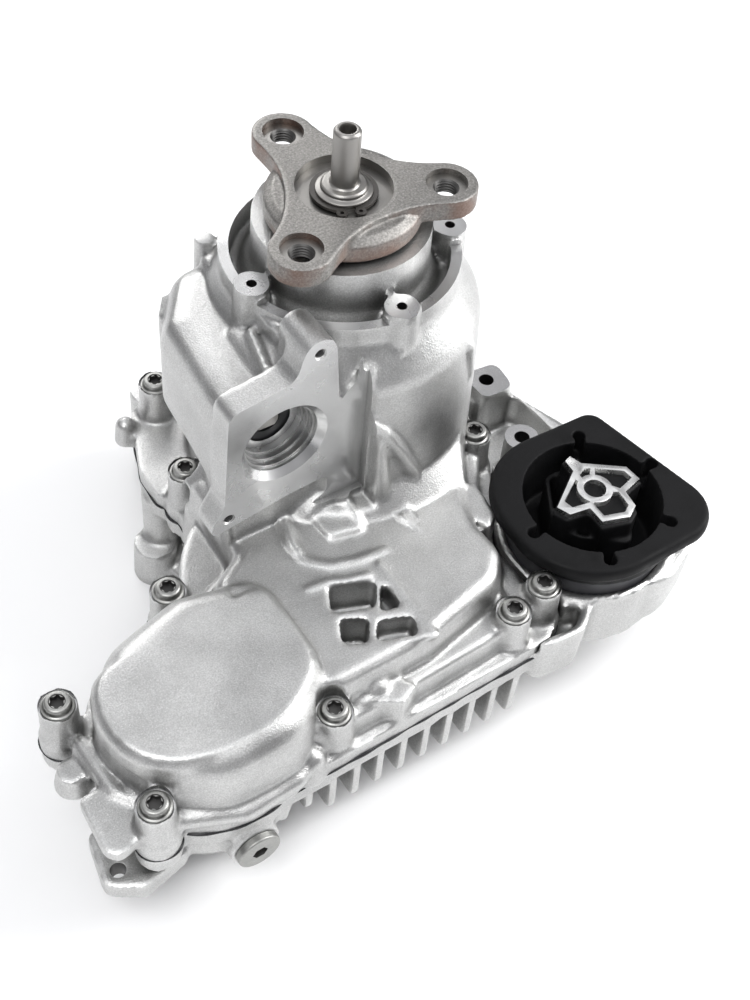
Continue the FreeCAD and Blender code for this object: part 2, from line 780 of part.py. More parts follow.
def mount_relief():
    """Room round the rubber mount, which the rear casting curves past."""
    return cylinder(MOUNT, size.mount_ring_radius + 1.2, rear_foot - 1, size.dome_level + 20)


def tab_slots():
    """Slots in the bell's wall that keep the ramp ring from turning."""
    width = size.ramp_tab_width + 2 * size.ramp_tab_gap
    reach = size.ramp_tab_reach + size.ramp_tab_gap
    slot = Part.makeBox(2 * reach, width, size.ramp_ring_top + 2 - rear_foot + 1,
                        Vector(-reach, -width / 2, rear_foot - 1))
    slot.rotate(Vector(), UP, size.ramp_tab_bearing)
    return [slot.cut(cylinder(MAIN, 40, 0, 200))]


def arm_corners():
    """Plan of the mount arm."""
    return [
        (14, -150, 10), (16, -173, 10), (42, -175, 8), (58, -163, 8), (100, -173, 30), (130, -159, 16),
        (134, -124, 20), (124, -72, 18), (104, -14, 12), (84, 0, 10), (30, -20, 10), (30, -110, 20),
    ]


def face_bolt_places():
    """Tapped holes of the gearbox face on their circle."""
    count = int(size.face_bolt_count)
    step = 360 / count
    return [polar(size.face_bolt_circle / 2, size.face_bolt_start + step * index) for index in range(count)]


ARM_LUGS = (Vector(85.8, -60.8, 0), Vector(94, -16, 0))
CORNER_LUG = Vector(-62.6, -35.8, 0)
PLUG_PLACE = Vector(-2, -44, 0)
DRAIN_TILT = Vector(0, -1, 0)


def make_front_housing():
    """The front casting: gearbox face, output lobe, finned belly and mount arm."""
    seam = size.seam_level
    flange_foot = seam - size.front_flange_depth
    solids = [seam_block(flange_foot, seam)]
    solids.append(revolved([
        (0.0, 0.0, 0.1), (size.face_radius, 0.0, 0.5), (size.face_radius, size.face_depth, 2),
        (size.tube_radius + 1, size.face_depth + 3, 4), (size.tube_radius - 3, flange_foot + 1, 1),
        (0.0, flange_foot + 1, 0.1),
    ]))
    solids += [tapered(place, size.face_ear_radius, size.face_ear_radius - 1, 0, size.face_bolt_depth + 4)
               for place in face_bolt_places()]
    lobe = size.front_lobe_radius
    solids.append(revolved([
        (0.0, size.front_lobe_foot, 0.1), (lobe - 8, size.front_lobe_foot, 3), (lobe - 5, 22, 4),
        (lobe + 5, size.belly_level - 2, 8), (lobe + 5, flange_foot + 1, 1), (0.0, flange_foot + 1, 0.1),
    ], FRONT))
    belly = [
        (FRONT.x - 10, FRONT.y - 47, 12), (18, -160, 14), (34, -146, 12), (36, -100, 24), (40, -40, 10),
        (-60, 0, 10), (-92, -30, 12), (-120, -66, 14), (FRONT.x - 10, FRONT.y + 47, 14),
    ]
    solids.append(cast_block(belly, [(size.belly_level - 4, 8), (size.belly_level, 3), (flange_foot + 1, 0)]))
    idler_wall = idler_tip_radius + size.cavity_clearance + size.bell_wall
    solids.append(tapered(IDLER, idler_wall - 3, idler_wall, size.belly_level, flange_foot + 1))
    for index in range(int(size.fin_count)):
        solids.append(fin(index, flange_foot + 1))
    arm = cast_block(arm_corners(), [(size.arm_foot, 4), (size.arm_foot + 5, 1), (size.arm_top, 0)])
    arm_pocket = outline_block([
        (60, -86, 6), (78, -72, 6), (112, -74, 8), (108, -30, 8), (90, -14, 6), (70, -24, 8), (68, -60, 8),
    ], size.arm_foot + 14, size.arm_top + 1)
    front_pocket = outline_block([
        (22, -168, 2.5), (40, -170, 2.5), (51, -162, 2.5), (40, -157, 2.5), (24, -157, 2.5),
    ], size.arm_top - 16, size.arm_top + 1)
    arm = arm.cut(arm_pocket).cut(front_pocket)
    solids.append(arm)
    solids.append(cylinder(MOUNT, size.mount_ring_radius, size.arm_foot, size.arm_top + 2))
    solids.append(facing_cylinder(fill_plug_place(), fill_plug_axis(), size.plug_head_radius + 2, 20))
    solids += [cylinder(lug, size.arm_lug_radius, size.arm_foot, size.arm_lug_top) for lug in ARM_LUGS]
    solids.append(cast_block([(84, -28, 5), (105, -28, 5), (107, -7, 5), (84, -5, 4)], [
        (size.arm_foot, 1), (size.arm_lug_top - 1.5, 0), (size.arm_lug_top, 1.5),
    ]))
    solids.append(corner_lug())
    drain = FRONT + PLUG_PLACE
    solids.append(lying(Vector(drain.x, drain.y + 14, size.drain_level), size.plug_head_radius + 2, 26, DRAIN_TILT))
    for place, radius in SIDE_LUGS:
        solids.append(cylinder(place, radius, 0, seam - 4))
        solids.append(rib_between(place * 0.8, place, radius, 0, seam - 6))
    solid = joined(solids)
    cutters = gear_cavities(cavity_foot, seam + 1)
    cutters += [
        cylinder(MAIN, size.front_bearing_outer + size.seat_gap,
                 size.front_bearing_foot, cavity_foot + 1),
        cylinder(MAIN, size.front_journal_radius + 3, -1, size.front_bearing_foot + 1),
        cylinder(MAIN, size.input_seal_outer + size.seat_gap, -1, size.input_seal_foot + size.seal_width),
        cylinder(FRONT, size.output_lower_outer + size.seat_gap, size.output_lower_foot, cavity_foot + 1),
        cylinder(FRONT, size.output_shaft_radius + 2, 0, size.output_lower_foot + 1),
        cylinder(FRONT, size.output_seal_outer + size.seat_gap, 0, size.output_seal_foot + size.seal_width),
        cylinder(IDLER, size.idler_pin_radius + size.seat_gap, size.idler_pin_foot - 0.2, seam),
        cylinder(MOUNT, size.sleeve_radius + size.seat_gap, size.sleeve_foot, size.rubber_top),
        cylinder(MOUNT, size.sleeve_radius - 8, size.arm_foot - 1, size.sleeve_foot + 1),
    ]
    screw_bore = size.screw_radius + size.thread_gap
    cutters += [cylinder(screw, screw_bore, size.screw_foot - 2, seam + 1) for screw in SCREWS]
    cutters += [cylinder(place, size.face_bolt_radius, -1, size.face_bolt_depth) for place in face_bolt_places()]
    cutters += [cylinder(lug, size.arm_lug_hole_radius, size.arm_foot - 1, size.arm_lug_top + 1)
                for lug in ARM_LUGS]
    cutters.append(cylinder(FRONT + CORNER_LUG, size.lug_hole_radius, 20, seam))
    drain_start = Vector(drain.x, drain.y + 3, size.drain_level)
    cutters.append(lying(drain_start, size.plug_radius + size.thread_gap, 40, DRAIN_TILT))
    cutters.append(fill_plug_bore())
    cutters += dowel_pockets()
    cutters.append(seam_block(seam, size.arm_lug_top + 5, size.sealant_thickness).cut(
        cylinder(MOUNT, size.mount_ring_radius + 0.6, seam - 1, size.rubber_top)))
    cutters.append(tube(MAIN, size.face_radius - 11, size.input_seal_outer + 8, -1, size.face_depth - 5))
    return shaped("front_housing", less(solid, cutters))


SIDE_LUGS = [(Vector(-62, 92, 0), 11), (Vector(-92, 22, 0), 10)]


def fin(index, top):
    """One cooling fin under the front edge, deeper at its root than at its lip."""
    x = size.fin_first_x + index * size.fin_pitch
    front = size.fin_front_y
    foot = size.fin_foot + (12 if index < 2 else 0)
    points = [
        Vector(x, front, top), Vector(x, front, foot + 4), Vector(x, front + 4, foot),
        Vector(x, front + 44, foot), Vector(x, front + 44, top), Vector(x, front, top),
    ]
    face = Part.Face(Part.makePolygon(points))
    return face.extrude(Vector(size.fin_thickness, 0, 0))


def corner_lug():
    """The drilled lug at the lower left corner of the front casting."""
    lug = outline_block([
        (FRONT.x - 67, FRONT.y - 12, 5), (FRONT.x - 72, FRONT.y - 40, 7), (FRONT.x - 56, FRONT.y - 50, 7),
        (FRONT.x - 30, FRONT.y - 44, 4), (FRONT.x - 34, FRONT.y - 10, 4),
    ], 33, 45)
    return lug


def fill_plug_place():
    """Mouth of the filler hole, level with the gears on the far side of the tube."""
    return polar(size.tube_radius + 7, 25) + Vector(0, 0, 34)


def fill_plug_axis():
    """Direction the filler plug points away in."""
    return polar(1, 25)


def facing_cylinder(mouth, axis, radius, depth):
    """A boss that runs inwards from its mouth."""
    return Part.makeCylinder(radius, depth, mouth - axis * depth, axis)


def fill_plug_bore():
    """The tapped filler hole."""
    depth = size.plug_length + 4
    mouth = fill_plug_place()
    axis = fill_plug_axis()
    return Part.makeCylinder(size.plug_radius + size.thread_gap, depth + 10, mouth + axis * 10, axis * -1)


def bearing(label, bore, outer, foot, width, place=None):
    """A sealed ball bearing: two rings with their shields set back from the faces."""
    ring = "(%s - %s) * 0.24" % (outer, bore)
    inner = "%s + %s" % (bore, ring)
    outside = "%s - %s" % (outer, ring)
    top = "%s + %s" % (foot, width)
    low = "%s + 0.8" % foot
    high = "%s - 0.8" % top
    section = [
        (bore, foot), (inner, foot), (inner, low), (outside, low), (outside, foot), (outer, foot),
        (outer, top), (outside, top), (outside, high), (inner, high), (inner, top), (bore, top),
    ]
    return turned(label, section, place)


def lip_seal(label, bore, outer, foot, width, place=None):
    """A rubber-covered lip seal."""
    top = "%s + %s" % (foot, width)
    section = [
        (bore + " + 1", foot), (outer, foot), (outer, top), (outer + " - 1.5", top),
        (outer + " - 1.5", foot + " + 3"), (bore + " + 2.5", foot + " + 3"), (bore + " + 1.6", top + " - 1"),
        (bore, top + " - 1"), (bore, top + " - 2.5"),
    ]
    return turned(label, section, place)


def make_shaft_line():
    """The main shaft with its bearings, seals and circlip."""
    turned("main_shaft", [
        ("input_bore_radius", "shaft_foot"),
        ("front_journal_radius", "shaft_foot"),
        ("front_journal_radius", "front_journal_top"),
        ("shaft_radius", "front_journal_top"),
        ("shaft_radius", "rear_journal_foot"),
        ("rear_journal_radius", "rear_journal_foot"),
        ("rear_journal_radius", "spline_foot"),
        ("spline_radius", "spline_foot"),
        ("spline_radius", "circlip_level"),
        ("spline_radius - circlip_groove_depth", "circlip_level"),
        ("spline_radius - circlip_groove_depth", "circlip_level + circlip_thickness"),
        ("spline_radius", "circlip_level + circlip_thickness"),
        ("spline_radius", "spline_top"),
        ("collar_radius", "spline_top + 0.8"),
        ("collar_radius", "collar_top - 1"),
        ("collar_radius - 1", "collar_top"),
        ("pin_radius + 1", "collar_top"),
        ("pin_radius", "collar_top + 1"),
        ("pin_radius", "pin_top - 1.2"),
        ("pin_radius - 1.2", "pin_top"),
        ("pin_hole_radius", "pin_top"),
        ("pin_hole_radius - 0.6", "pin_top - pin_hole_depth"),
        ("0", "pin_top - pin_hole_depth - 2"),
        ("0", "shaft_foot + input_bore_depth + 3"),
        ("input_bore_radius", "shaft_foot + input_bore_depth"),
    ])
    bearing("front_main_bearing", "(front_journal_radius + running_gap)", "front_bearing_outer",
            "front_bearing_foot", "main_bearing_width")
    bearing("rear_main_bearing", "(rear_journal_radius + running_gap)", "rear_bearing_outer",
            "rear_bearing_foot", "main_bearing_width")
    lip_seal("input_seal", "(front_journal_radius + running_gap)", "input_seal_outer",
             "input_seal_foot", "seal_width")
    lip_seal("rear_shaft_seal", "(flange_hub_radius + running_gap)", "rear_seal_outer",
             "rear_seal_foot", "seal_width")
    groove = size.spline_radius - size.circlip_groove_depth + size.seat_gap
    ring = tube(MAIN, size.circlip_radius, groove, size.circlip_level + 0.05,
                size.circlip_level + size.circlip_thickness - 0.05)
    gap_facing = 250.0
    half_gap = 9.0
    opening = Part.makeBox(20, 5, 4, Vector(groove - 2, -2.5, size.circlip_level - 1))
    opening.rotate(Vector(), UP, gap_facing)
    ring = ring.cut(opening)
    for side in (-1, 1):
        centre = polar(size.circlip_radius + 1, gap_facing + side * (half_gap + 6))
        ear = cylinder(centre, 2.6, size.circlip_level + 0.05, size.circlip_level + size.circlip_thickness - 0.05)
        eye = cylinder(centre, 1, size.circlip_level - 1, size.circlip_level + 4)
        ring = ring.fuse(ear).cut(eye)
    ring = ring.cut(cylinder(MAIN, groove, 0, 300))
    shaped("flange_circlip", ring.removeSplitter())


def flange_outline(level):
    """Three tip arcs joined by three tangent waist arcs."""
    bolt = size.flange_bolt_circle / 2
    tip = size.flange_tip_radius
    waist = size.flange_waist_radius
    count = int(size.flange_arm_count)
    half = 180 / count
    # The waist circle touches both neighbouring tip circles.
    difference = waist - tip
    reach = (bolt ** 2 - difference ** 2) / (2 * (bolt * math.cos(math.radians(half)) - difference))
    sweep_radius = reach - waist
    edges = []
    for index in range(count):
        bearing_here = size.flange_first_arm - index * 360 / count
        tip_centre = polar(bolt, bearing_here)
        before = polar(reach, bearing_here + half)
        after = polar(reach, bearing_here - half)
        next_tip = polar(bolt, bearing_here - 2 * half)
        start = tip_centre + (before - tip_centre).normalize() * tip
        end = tip_centre + (after - tip_centre).normalize() * tip
        next_start = next_tip + (after - next_tip).normalize() * tip
        lift = Vector(0, 0, level)
        edges.append(Part.Arc(start + lift, polar(bolt + tip, bearing_here) + lift, end + lift).toShape())
        inner = polar(reach - sweep_radius, bearing_here - half)
        edges.append(Part.Arc(end + lift, inner + lift, next_start + lift).toShape())
    return Part.Wire(edges)


def make_output_flange():
    """The forged three-arm flange on the main shaft's spline."""
    arm_foot = size.flange_top - size.flange_arm_thickness
    arms = Part.Face(flange_outline(arm_foot)).extrude(Vector(0, 0, size.flange_arm_thickness))
    disc = revolved([
        (0.0, size.flange_disc_foot, 0.1), (size.flange_disc_radius, size.flange_disc_foot, 2),
        (size.flange_disc_radius, size.flange_disc_top - 3, 1),
        (size.flange_disc_radius - 4.5, size.flange_disc_top, 1), (0.0, size.flange_disc_top, 0.1),
    ])
    hub_foot = size.rear_bearing_foot + size.main_bearing_width + 0.5
    hub = cylinder(MAIN, size.flange_hub_radius, hub_foot, size.flange_disc_foot + 1)
    solid = joined([arms, disc, hub])
    floor = size.flange_top - size.flange_recess_depth
    cutters = [
        cylinder(MAIN, size.flange_recess_radius, floor, size.flange_top + 1),
        cylinder(MAIN, size.spline_radius + size.seat_gap, hub_foot - 1, size.flange_top + 1),
        cylinder(MAIN, size.rear_journal_radius + size.seat_gap, hub_foot - 1, size.spline_foot + 0.1),
    ]
    for index in range(int(size.flange_arm_count)):
        place = polar(size.flange_bolt_circle / 2, size.flange_first_arm - index * 360 / size.flange_arm_count)
        cutters.append(cylinder(place, size.flange_bolt_radius, arm_foot - 1, size.flange_top + 1))
        cutters.append(cylinder(place, size.flange_spotface_radius,
                                size.flange_top - size.flange_spotface_depth, size.flange_top + 1))
    shaped("output_flange", less(solid, cutters))


def involute(base_radius, radius):
    """Polar angle of an involute point at a radius."""
    ratio = max(1.0, radius / base_radius)
    pressure = math.acos(1 / ratio)
    return math.tan(pressure) - pressure


def tooth_points(teeth, phase, flank_steps=4):
    """Outline points of a spur gear whose first tooth is centred on the phase angle."""
    module = size.gear_module
    pitch = module * teeth / 2
    base = pitch * math.cos(math.radians(20))
    tip = pitch + module - size.tooth_tip_gap / 3
    root = pitch - 1.25 * module
    start = max(base, root + 0.2)
    half_tooth = (math.pi * module / 2 - size.gear_backlash) / 2 / pitch + involute(base, pitch)
    radii = [start + (tip - start) * step / flank_steps for step in range(flank_steps + 1)]
    points = []
    for index in range(int(teeth)):
        centre = math.radians(phase) + 2 * math.pi * index / teeth
        flank = [(radius, half_tooth - involute(base, radius)) for radius in radii]
        root_half = flank[0][1] + 0.012
        left = [(root, -root_half)] + [(radius, -angle) for radius, angle in flank]
        right = [(radius, angle) for radius, angle in reversed(flank)] + [(root, root_half)]
        for radius, angle in left + right:
            points.append(Vector(radius * math.cos(centre + angle), radius * math.sin(centre + angle), 0))
    return points


def gear_solid(teeth, phase):
    """The toothed disc of a spur gear between the gear levels."""
    points = tooth_points(teeth, phase)
    wire = Part.makePolygon(points + points[:1])
    wire.translate(Vector(0, 0, size.gear_foot))
    return Part.Face(wire).extrude(Vector(0, 0, size.gear_width))


def mesh_phases():
    """Phases of the three gears, in mesh at rest."""
    drive_teeth = size.drive_teeth
    idler_teeth = size.idler_teeth
    to_idler = size.front_axis_bearing + size.idler_kink
    idler_phase = to_idler + 180 + 180 / idler_teeth
    to_front = math.degrees(math.atan2(FRONT.y - IDLER.y, FRONT.x - IDLER.x))
    idler_step = 360 / idler_teeth
    lead = (idler_phase - to_front) % idler_step
    front_phase = to_front + 180 - lead * idler_teeth / drive_teeth + 180 / drive_teeth
    return to_idler, idler_phase, front_phase


def make_gear_train():
    """Drive gear, idler and front output gear, with the idler's bush and pin."""
    drive_phase, idler_phase, front_phase = mesh_phases()
    drum_neck_top = size.drum_web_foot + size.drum_web_thickness
    drive = gear_solid(size.drive_teeth, drive_phase)
    drive = joined([drive, cylinder(MAIN, size.drum_neck_radius + 4, gear_top - 1, size.drum_web_foot),
                    cylinder(MAIN, size.drum_neck_radius, gear_top, drum_neck_top)])
    drive = drive.cut(cylinder(MAIN, size.shaft_radius + size.running_gap, 0, 300))
    shaped("drive_gear", drive)
    bush_outer = size.idler_pin_radius + size.running_gap + size.idler_bush_wall
    idler = gear_solid(size.idler_teeth, idler_phase)
    waist = tube(MAIN, size.gear_module * (size.idler_teeth / 2 - 4), bush_outer + 9,
                 size.gear_foot + size.gear_width * 0.66, gear_top + 1)
    idler = idler.cut(waist)
    waist.translate(Vector(0, 0, -size.gear_width * 0.66 - 1))
    idler = idler.cut(waist).cut(cylinder(MAIN, bush_outer + size.seat_gap, 0, 300))
    shaped("idler_gear", idler, at(IDLER))
    front = gear_solid(size.drive_teeth, front_phase)
    front = front.cut(cylinder(MAIN, size.output_shaft_radius + size.seat_gap, 0, 300))
    shaped("front_output_gear", front, at(FRONT))
    turned("idler_bush", [
        ("idler_pin_radius + running_gap", "gear_foot"),
        ("idler_pin_radius + running_gap + idler_bush_wall", "gear_foot"),
        ("idler_pin_radius + running_gap + idler_bush_wall", "gear_foot + gear_width"),
        ("idler_pin_radius + running_gap", "gear_foot + gear_width"),
    ], at(IDLER))
    pin = doc.addObject("Part::Cylinder", "idler_pin")
    pin.setExpression("Radius", bound("idler_pin_radius"))
    pin.setExpression("Height", bound("idler_pin_top - idler_pin_foot"))
    pin.setExpression("Placement.Base.z", bound("idler_pin_foot"))
    pin.Placement = at(Vector(IDLER.x, IDLER.y, size.idler_pin_foot))
    keep("idler_pin", pin)


def make_front_output():
    """The front output shaft with its bearings and seal."""
    place = at(FRONT)
    turned("front_output_shaft", [
        ("output_bore_radius", "output_shaft_foot"),
        ("output_shaft_radius", "output_shaft_foot"),
        ("output_shaft_radius", "gear_foot + gear_width"),
        ("output_upper_radius + 2", "gear_foot + gear_width"),
        ("output_upper_radius + 2", "output_upper_foot - 0.1"),
        ("output_upper_radius", "output_upper_foot - 0.1"),
        ("output_upper_radius", "output_shaft_top - 1"),
        ("output_upper_radius - 1", "output_shaft_top"),
        ("0", "output_shaft_top"),
        ("0", "output_shaft_foot + output_bore_depth + 3"),
        ("output_bore_radius", "output_shaft_foot + output_bore_depth"),
    ], place)
    bearing("front_output_lower_bearing", "(output_shaft_radius + running_gap)", "output_lower_outer",
            "output_lower_foot", "output_bearing_width", place)
    bearing("front_output_upper_bearing", "(output_upper_radius + running_gap)", "output_upper_outer",
            "output_upper_foot", "output_bearing_width", place)
    lip_seal("front_output_seal", "(output_shaft_radius + running_gap)", "output_seal_outer",
             "output_seal_foot", "seal_width", place)


def plate_levels(first_offset):
    """Foot levels of every second plate of the pack."""
    pitch = 2 * (size.plate_thickness + size.plate_gap)
    return [size.plate_first_level + first_offset + pitch * index for index in range(int(size.plate_count))]


def make_clutch():
    """The multi-plate clutch between the main shaft and the drive gear."""
    turned("clutch_hub", [
        ("shaft_radius + seat_gap", "hub_foot"),
        ("shaft_radius + seat_gap + 6", "hub_foot"),
        ("shaft_radius + seat_gap + 6", "hub_foot + 6"),
        ("hub_radius - 4", "hub_foot + 6"),
        ("hub_radius - 4", "hub_foot"),
        ("hub_radius", "hub_foot"),
        ("hub_radius", "hub_top"),
        ("hub_radius - 4", "hub_top"),
        ("hub_radius - 4", "hub_foot + 6 + hub_web"),
        ("shaft_radius + seat_gap", "hub_foot + 6 + hub_web"),
    ])
    turned("clutch_drum", [
        ("drum_neck_radius + seat_gap", "drum_web_foot"),
        ("drum_radius", "drum_web_foot"),
        ("drum_radius", "drum_top"),
        ("drum_radius - drum_wall", "drum_top"),
        ("drum_radius - drum_wall", "drum_web_foot + drum_web_thickness"),
        ("drum_neck_radius + seat_gap", "drum_web_foot + drum_web_thickness"),
    ])
    thickness = size.plate_thickness
    drum_bore = size.drum_radius - size.drum_wall
    steel = [tube(MAIN, drum_bore - size.plate_fit, size.steel_inner_radius, level, level + thickness)
             for level in plate_levels(0)]
    friction = [tube(MAIN, size.friction_outer_radius, size.hub_radius + size.plate_fit, level, level + thickness)
                for level in plate_levels(thickness + size.plate_gap)]
    shaped("steel_plates", Part.makeCompound(steel))
    shaped("friction_plates", Part.makeCompound(friction))
    turned("pressure_plate", [
        ("steel_inner_radius", "pressure_plate_foot"),
        ("drum_radius - drum_wall - plate_fit", "pressure_plate_foot"),
        ("drum_radius - drum_wall - plate_fit", "pressure_plate_foot + pressure_plate_thickness"),
        ("steel_inner_radius", "pressure_plate_foot + pressure_plate_thickness"),
    ])
    foot = "ramp_ring_foot - thrust_bearing_width - 0.1"
    turned("thrust_bearing", [
        ("thrust_inner_radius", foot), ("thrust_outer_radius", foot),
        ("thrust_outer_radius", "ramp_ring_foot - 0.1"), ("thrust_inner_radius", "ramp_ring_foot - 0.1"),
    ])


def ball_bearings():
    """Bearings in degrees of the ramp balls at rest."""
    count = int(size.ball_count)
    return [30 + 360 / count * index for index in range(count)]


def make_ball_ramp():
    """The ramp ring, its balls and the worm-driven control ring."""
    ring = tube(MAIN, size.ramp_ring_outer, size.ramp_ring_inner, size.ramp_ring_foot, size.ramp_ring_top)
    tabs = Part.makeBox(2 * size.ramp_tab_reach, size.ramp_tab_width, size.ramp_ring_top - size.ramp_ring_foot,
                        Vector(-size.ramp_tab_reach, -size.ramp_tab_width / 2, size.ramp_ring_foot))
    tabs = tabs.cut(cylinder(MAIN, size.ramp_ring_outer - 3, 0, 300))
    tabs.rotate(Vector(), UP, size.ramp_tab_bearing)
    ring = ring.fuse(tabs).removeSplitter()
    ball_level = (size.ramp_ring_top + size.control_ring_foot) / 2
    groove_radius = size.ball_radius + size.ball_gap
    slope = size.clutch_travel / (size.ball_circle * math.radians(size.ramp_sweep))
    for start in ball_bearings():
        ring = ring.cut(ramp_groove(start, ball_level, groove_radius, slope))
    shaped("ramp_ring", ring)
    balls = []
    pockets = []
    for start in ball_bearings():
        centre = polar(size.ball_circle, start) + Vector(0, 0, ball_level)
        balls.append(Part.makeSphere(size.ball_radius, centre))
        pockets.append(Part.makeSphere(groove_radius, centre))
    shaped("ramp_balls", Part.makeCompound(balls))
    make_control_ring(pockets)
    turned("ring_bearing", [
        ("control_ring_inner + 1", "control_ring_top + 0.2"), ("thrust_outer_radius", "control_ring_top + 0.2"),
        ("thrust_outer_radius", "control_ring_top + 4.8"), ("control_ring_inner + 1", "control_ring_top + 4.8"),
    ])


def ramp_groove(start, level, radius, slope):
    """A ball track that rises along its arc: a part of a ring tilted by the slope."""
    sweep = size.ramp_sweep
    middle = start + sweep / 2
    circle = size.ball_circle
    tilt = math.degrees(math.atan(slope))
    profile = Part.Wire(Part.Circle(Vector(circle, 0, 0), Vector(0, 1, 0), radius).toShape())
    track = Part.Face(profile).revolve(Vector(), UP, sweep)
    track.rotate(Vector(), UP, -sweep / 2)
    ends = [Part.makeSphere(radius, polar(circle, side * sweep / 2)) for side in (-1, 1)]
    groove = track.multiFuse(ends)
    groove.rotate(Vector(), Vector(1, 0, 0), tilt)
    groove.rotate(Vector(), UP, middle)
    half_rise = circle * math.sin(math.radians(sweep / 2)) * math.sin(math.radians(tilt))
    groove.translate(Vector(0, 0, level + half_rise))
    return groove


def make_control_ring(pockets):
    """The control ring with the worm-wheel teeth on its actuator side."""
    pitch = size.worm_module * size.worm_wheel_teeth / 2
    root = pitch - 1.2 * size.worm_module
    tip = pitch + size.worm_module - size.worm_tooth_gap
    half_face = size.worm_face_width / 2
    ring = tube(MAIN, root, size.control_ring_inner, size.control_ring_foot, size.control_ring_top)
    step = 360 / size.worm_wheel_teeth
    lead_angle = math.atan(size.worm_module / (2 * worm_pitch_radius()))
    twist = math.degrees(half_face * math.tan(lead_angle) / pitch)
    half_pitch_tooth = (math.pi * size.worm_module / 2 - size.worm_backlash) / 2
    slope = math.tan(math.radians(20))
    widths = [(root - 0.5, half_pitch_tooth + 1.2 * size.worm_module * slope),
              (tip, half_pitch_tooth - (tip - pitch) * slope)]
    count = int(size.worm_teeth_cut)
    solids = [ring]
    for index in range(count):
        centre = 180 + (index - count // 2) * step
        wires = []
        for side in (-1, 1):
            level = size.worm_axis_z + side * half_face
            turn = centre + TOOTH_HAND * side * twist
            corners = [(widths[0][0], -widths[0][1]), (widths[1][0], -widths[1][1]),
                       (widths[1][0], widths[1][1]), (widths[0][0], widths[0][1])]
            points = [Vector(x, y, level) for x, y in corners]
            wire = Part.makePolygon(points + points[:1])
            wire.rotate(Vector(), UP, turn)
            wires.append(wire)
        solids.append(Part.makeLoft(wires, True, True))
    solid = joined(solids)
    shaped("control_ring", less(solid, pockets))


TOOTH_HAND = 1


def worm_pitch_radius():
    """Pitch radius of the worm: what the centre distance leaves over."""
    return -size.worm_axis_x - size.worm_module * size.worm_wheel_teeth / 2


def make_worm():
    """The actuator's worm with its bearings and seal, along Y."""
    pitch_radius = worm_pitch_radius()
    pitch = math.pi * size.worm_module
    root = pitch_radius - 1.2 * size.worm_module
    tip = pitch_radius + size.worm_module - size.worm_tooth_gap
    slope = math.tan(math.radians(20))
    half = (pitch / 2 - size.worm_backlash) / 2
    low = root - 0.6
    low_half = half + (pitch_radius - low) * slope
    tip_half = half - (tip - pitch_radius) * slope
    length = size.worm_length
    turns = math.floor((length - pitch) / pitch)
    span = turns * pitch
    start = -span / 2
    helix = Part.makeHelix(pitch, span, pitch_radius)
    section = [Vector(low, 0, -low_half), Vector(tip, 0, -tip_half),
               Vector(tip, 0, tip_half), Vector(low, 0, low_half)]
    profile = Part.makePolygon(section + section[:1])
    thread = Part.Wire(helix).makePipeShell([profile], True, True)
    thread = Part.Solid(thread) if thread.ShapeType == "Shell" else thread
    thread.translate(Vector(0, 0, start))
    core = Part.makeCylinder(root, length, Vector(0, 0, -length / 2))
    nose = size.worm_nose_y
    tail = size.worm_tail_y
    stem = Part.makeCylinder(size.worm_stem_radius, tail - nose, Vector(0, 0, nose))
    drive_flats = Part.makeBox(20, 4, 12, Vector(-10, size.worm_stem_radius - 1.6, nose - 1))
    worm = joined([core, thread, stem]).cut(drive_flats)
    # Facing the wheel, the thread is turned so that a wheel tooth lies in its gap.
    worm.rotate(Vector(), UP, 0 if turns % 2 else 180)
    turn = FreeCAD.Rotation(Vector(1, 0, 0), -90)
    shaped("actuator_worm", worm, FreeCAD.Placement(Vector(size.worm_axis_x, 0, size.worm_axis_z), turn))
    along = FreeCAD.Placement(Vector(size.worm_axis_x, 0, size.worm_axis_z), turn)
    bearing("worm_front_bearing", "(worm_stem_radius + running_gap)", "worm_front_bearing_outer",
            "worm_front_bearing_y", "worm_bearing_width", along)
    bearing("worm_rear_bearing", "(worm_stem_radius + running_gap)", "worm_rear_bearing_outer",
            "worm_rear_bearing_y", "worm_bearing_width", along)
    lip_seal("worm_seal", "(worm_stem_radius + running_gap)", "worm_front_bearing_outer",
             "worm_seal_y", "worm_seal_width", along)


def screw_solid():
    """One button-flange screw, its seat at the origin."""
    head = size.screw_head_radius
    tip = size.screw_foot - size.screw_seat_level
    flange = size.screw_flange_height
    top = size.screw_head_height
    solid = revolved([
        (0.0, tip, 0.1), (size.screw_radius, tip, 0.4),
        (size.screw_radius, 0.0, 0.1), (head, 0.0, 0.2), (head, flange, 0.4), (head - 1.2, flange + 0.4, 0.3),
        (head - 2.2, top, 1.6), (0.0, top, 0.1),
    ])
    socket = Part.Face(Part.makePolygon([polar(size.screw_socket_radius, 60 * k) for k in range(7)]))
    socket.translate(Vector(0, 0, top - size.screw_socket_depth))
    return solid.cut(socket.extrude(Vector(0, 0, size.screw_socket_depth + 1)))


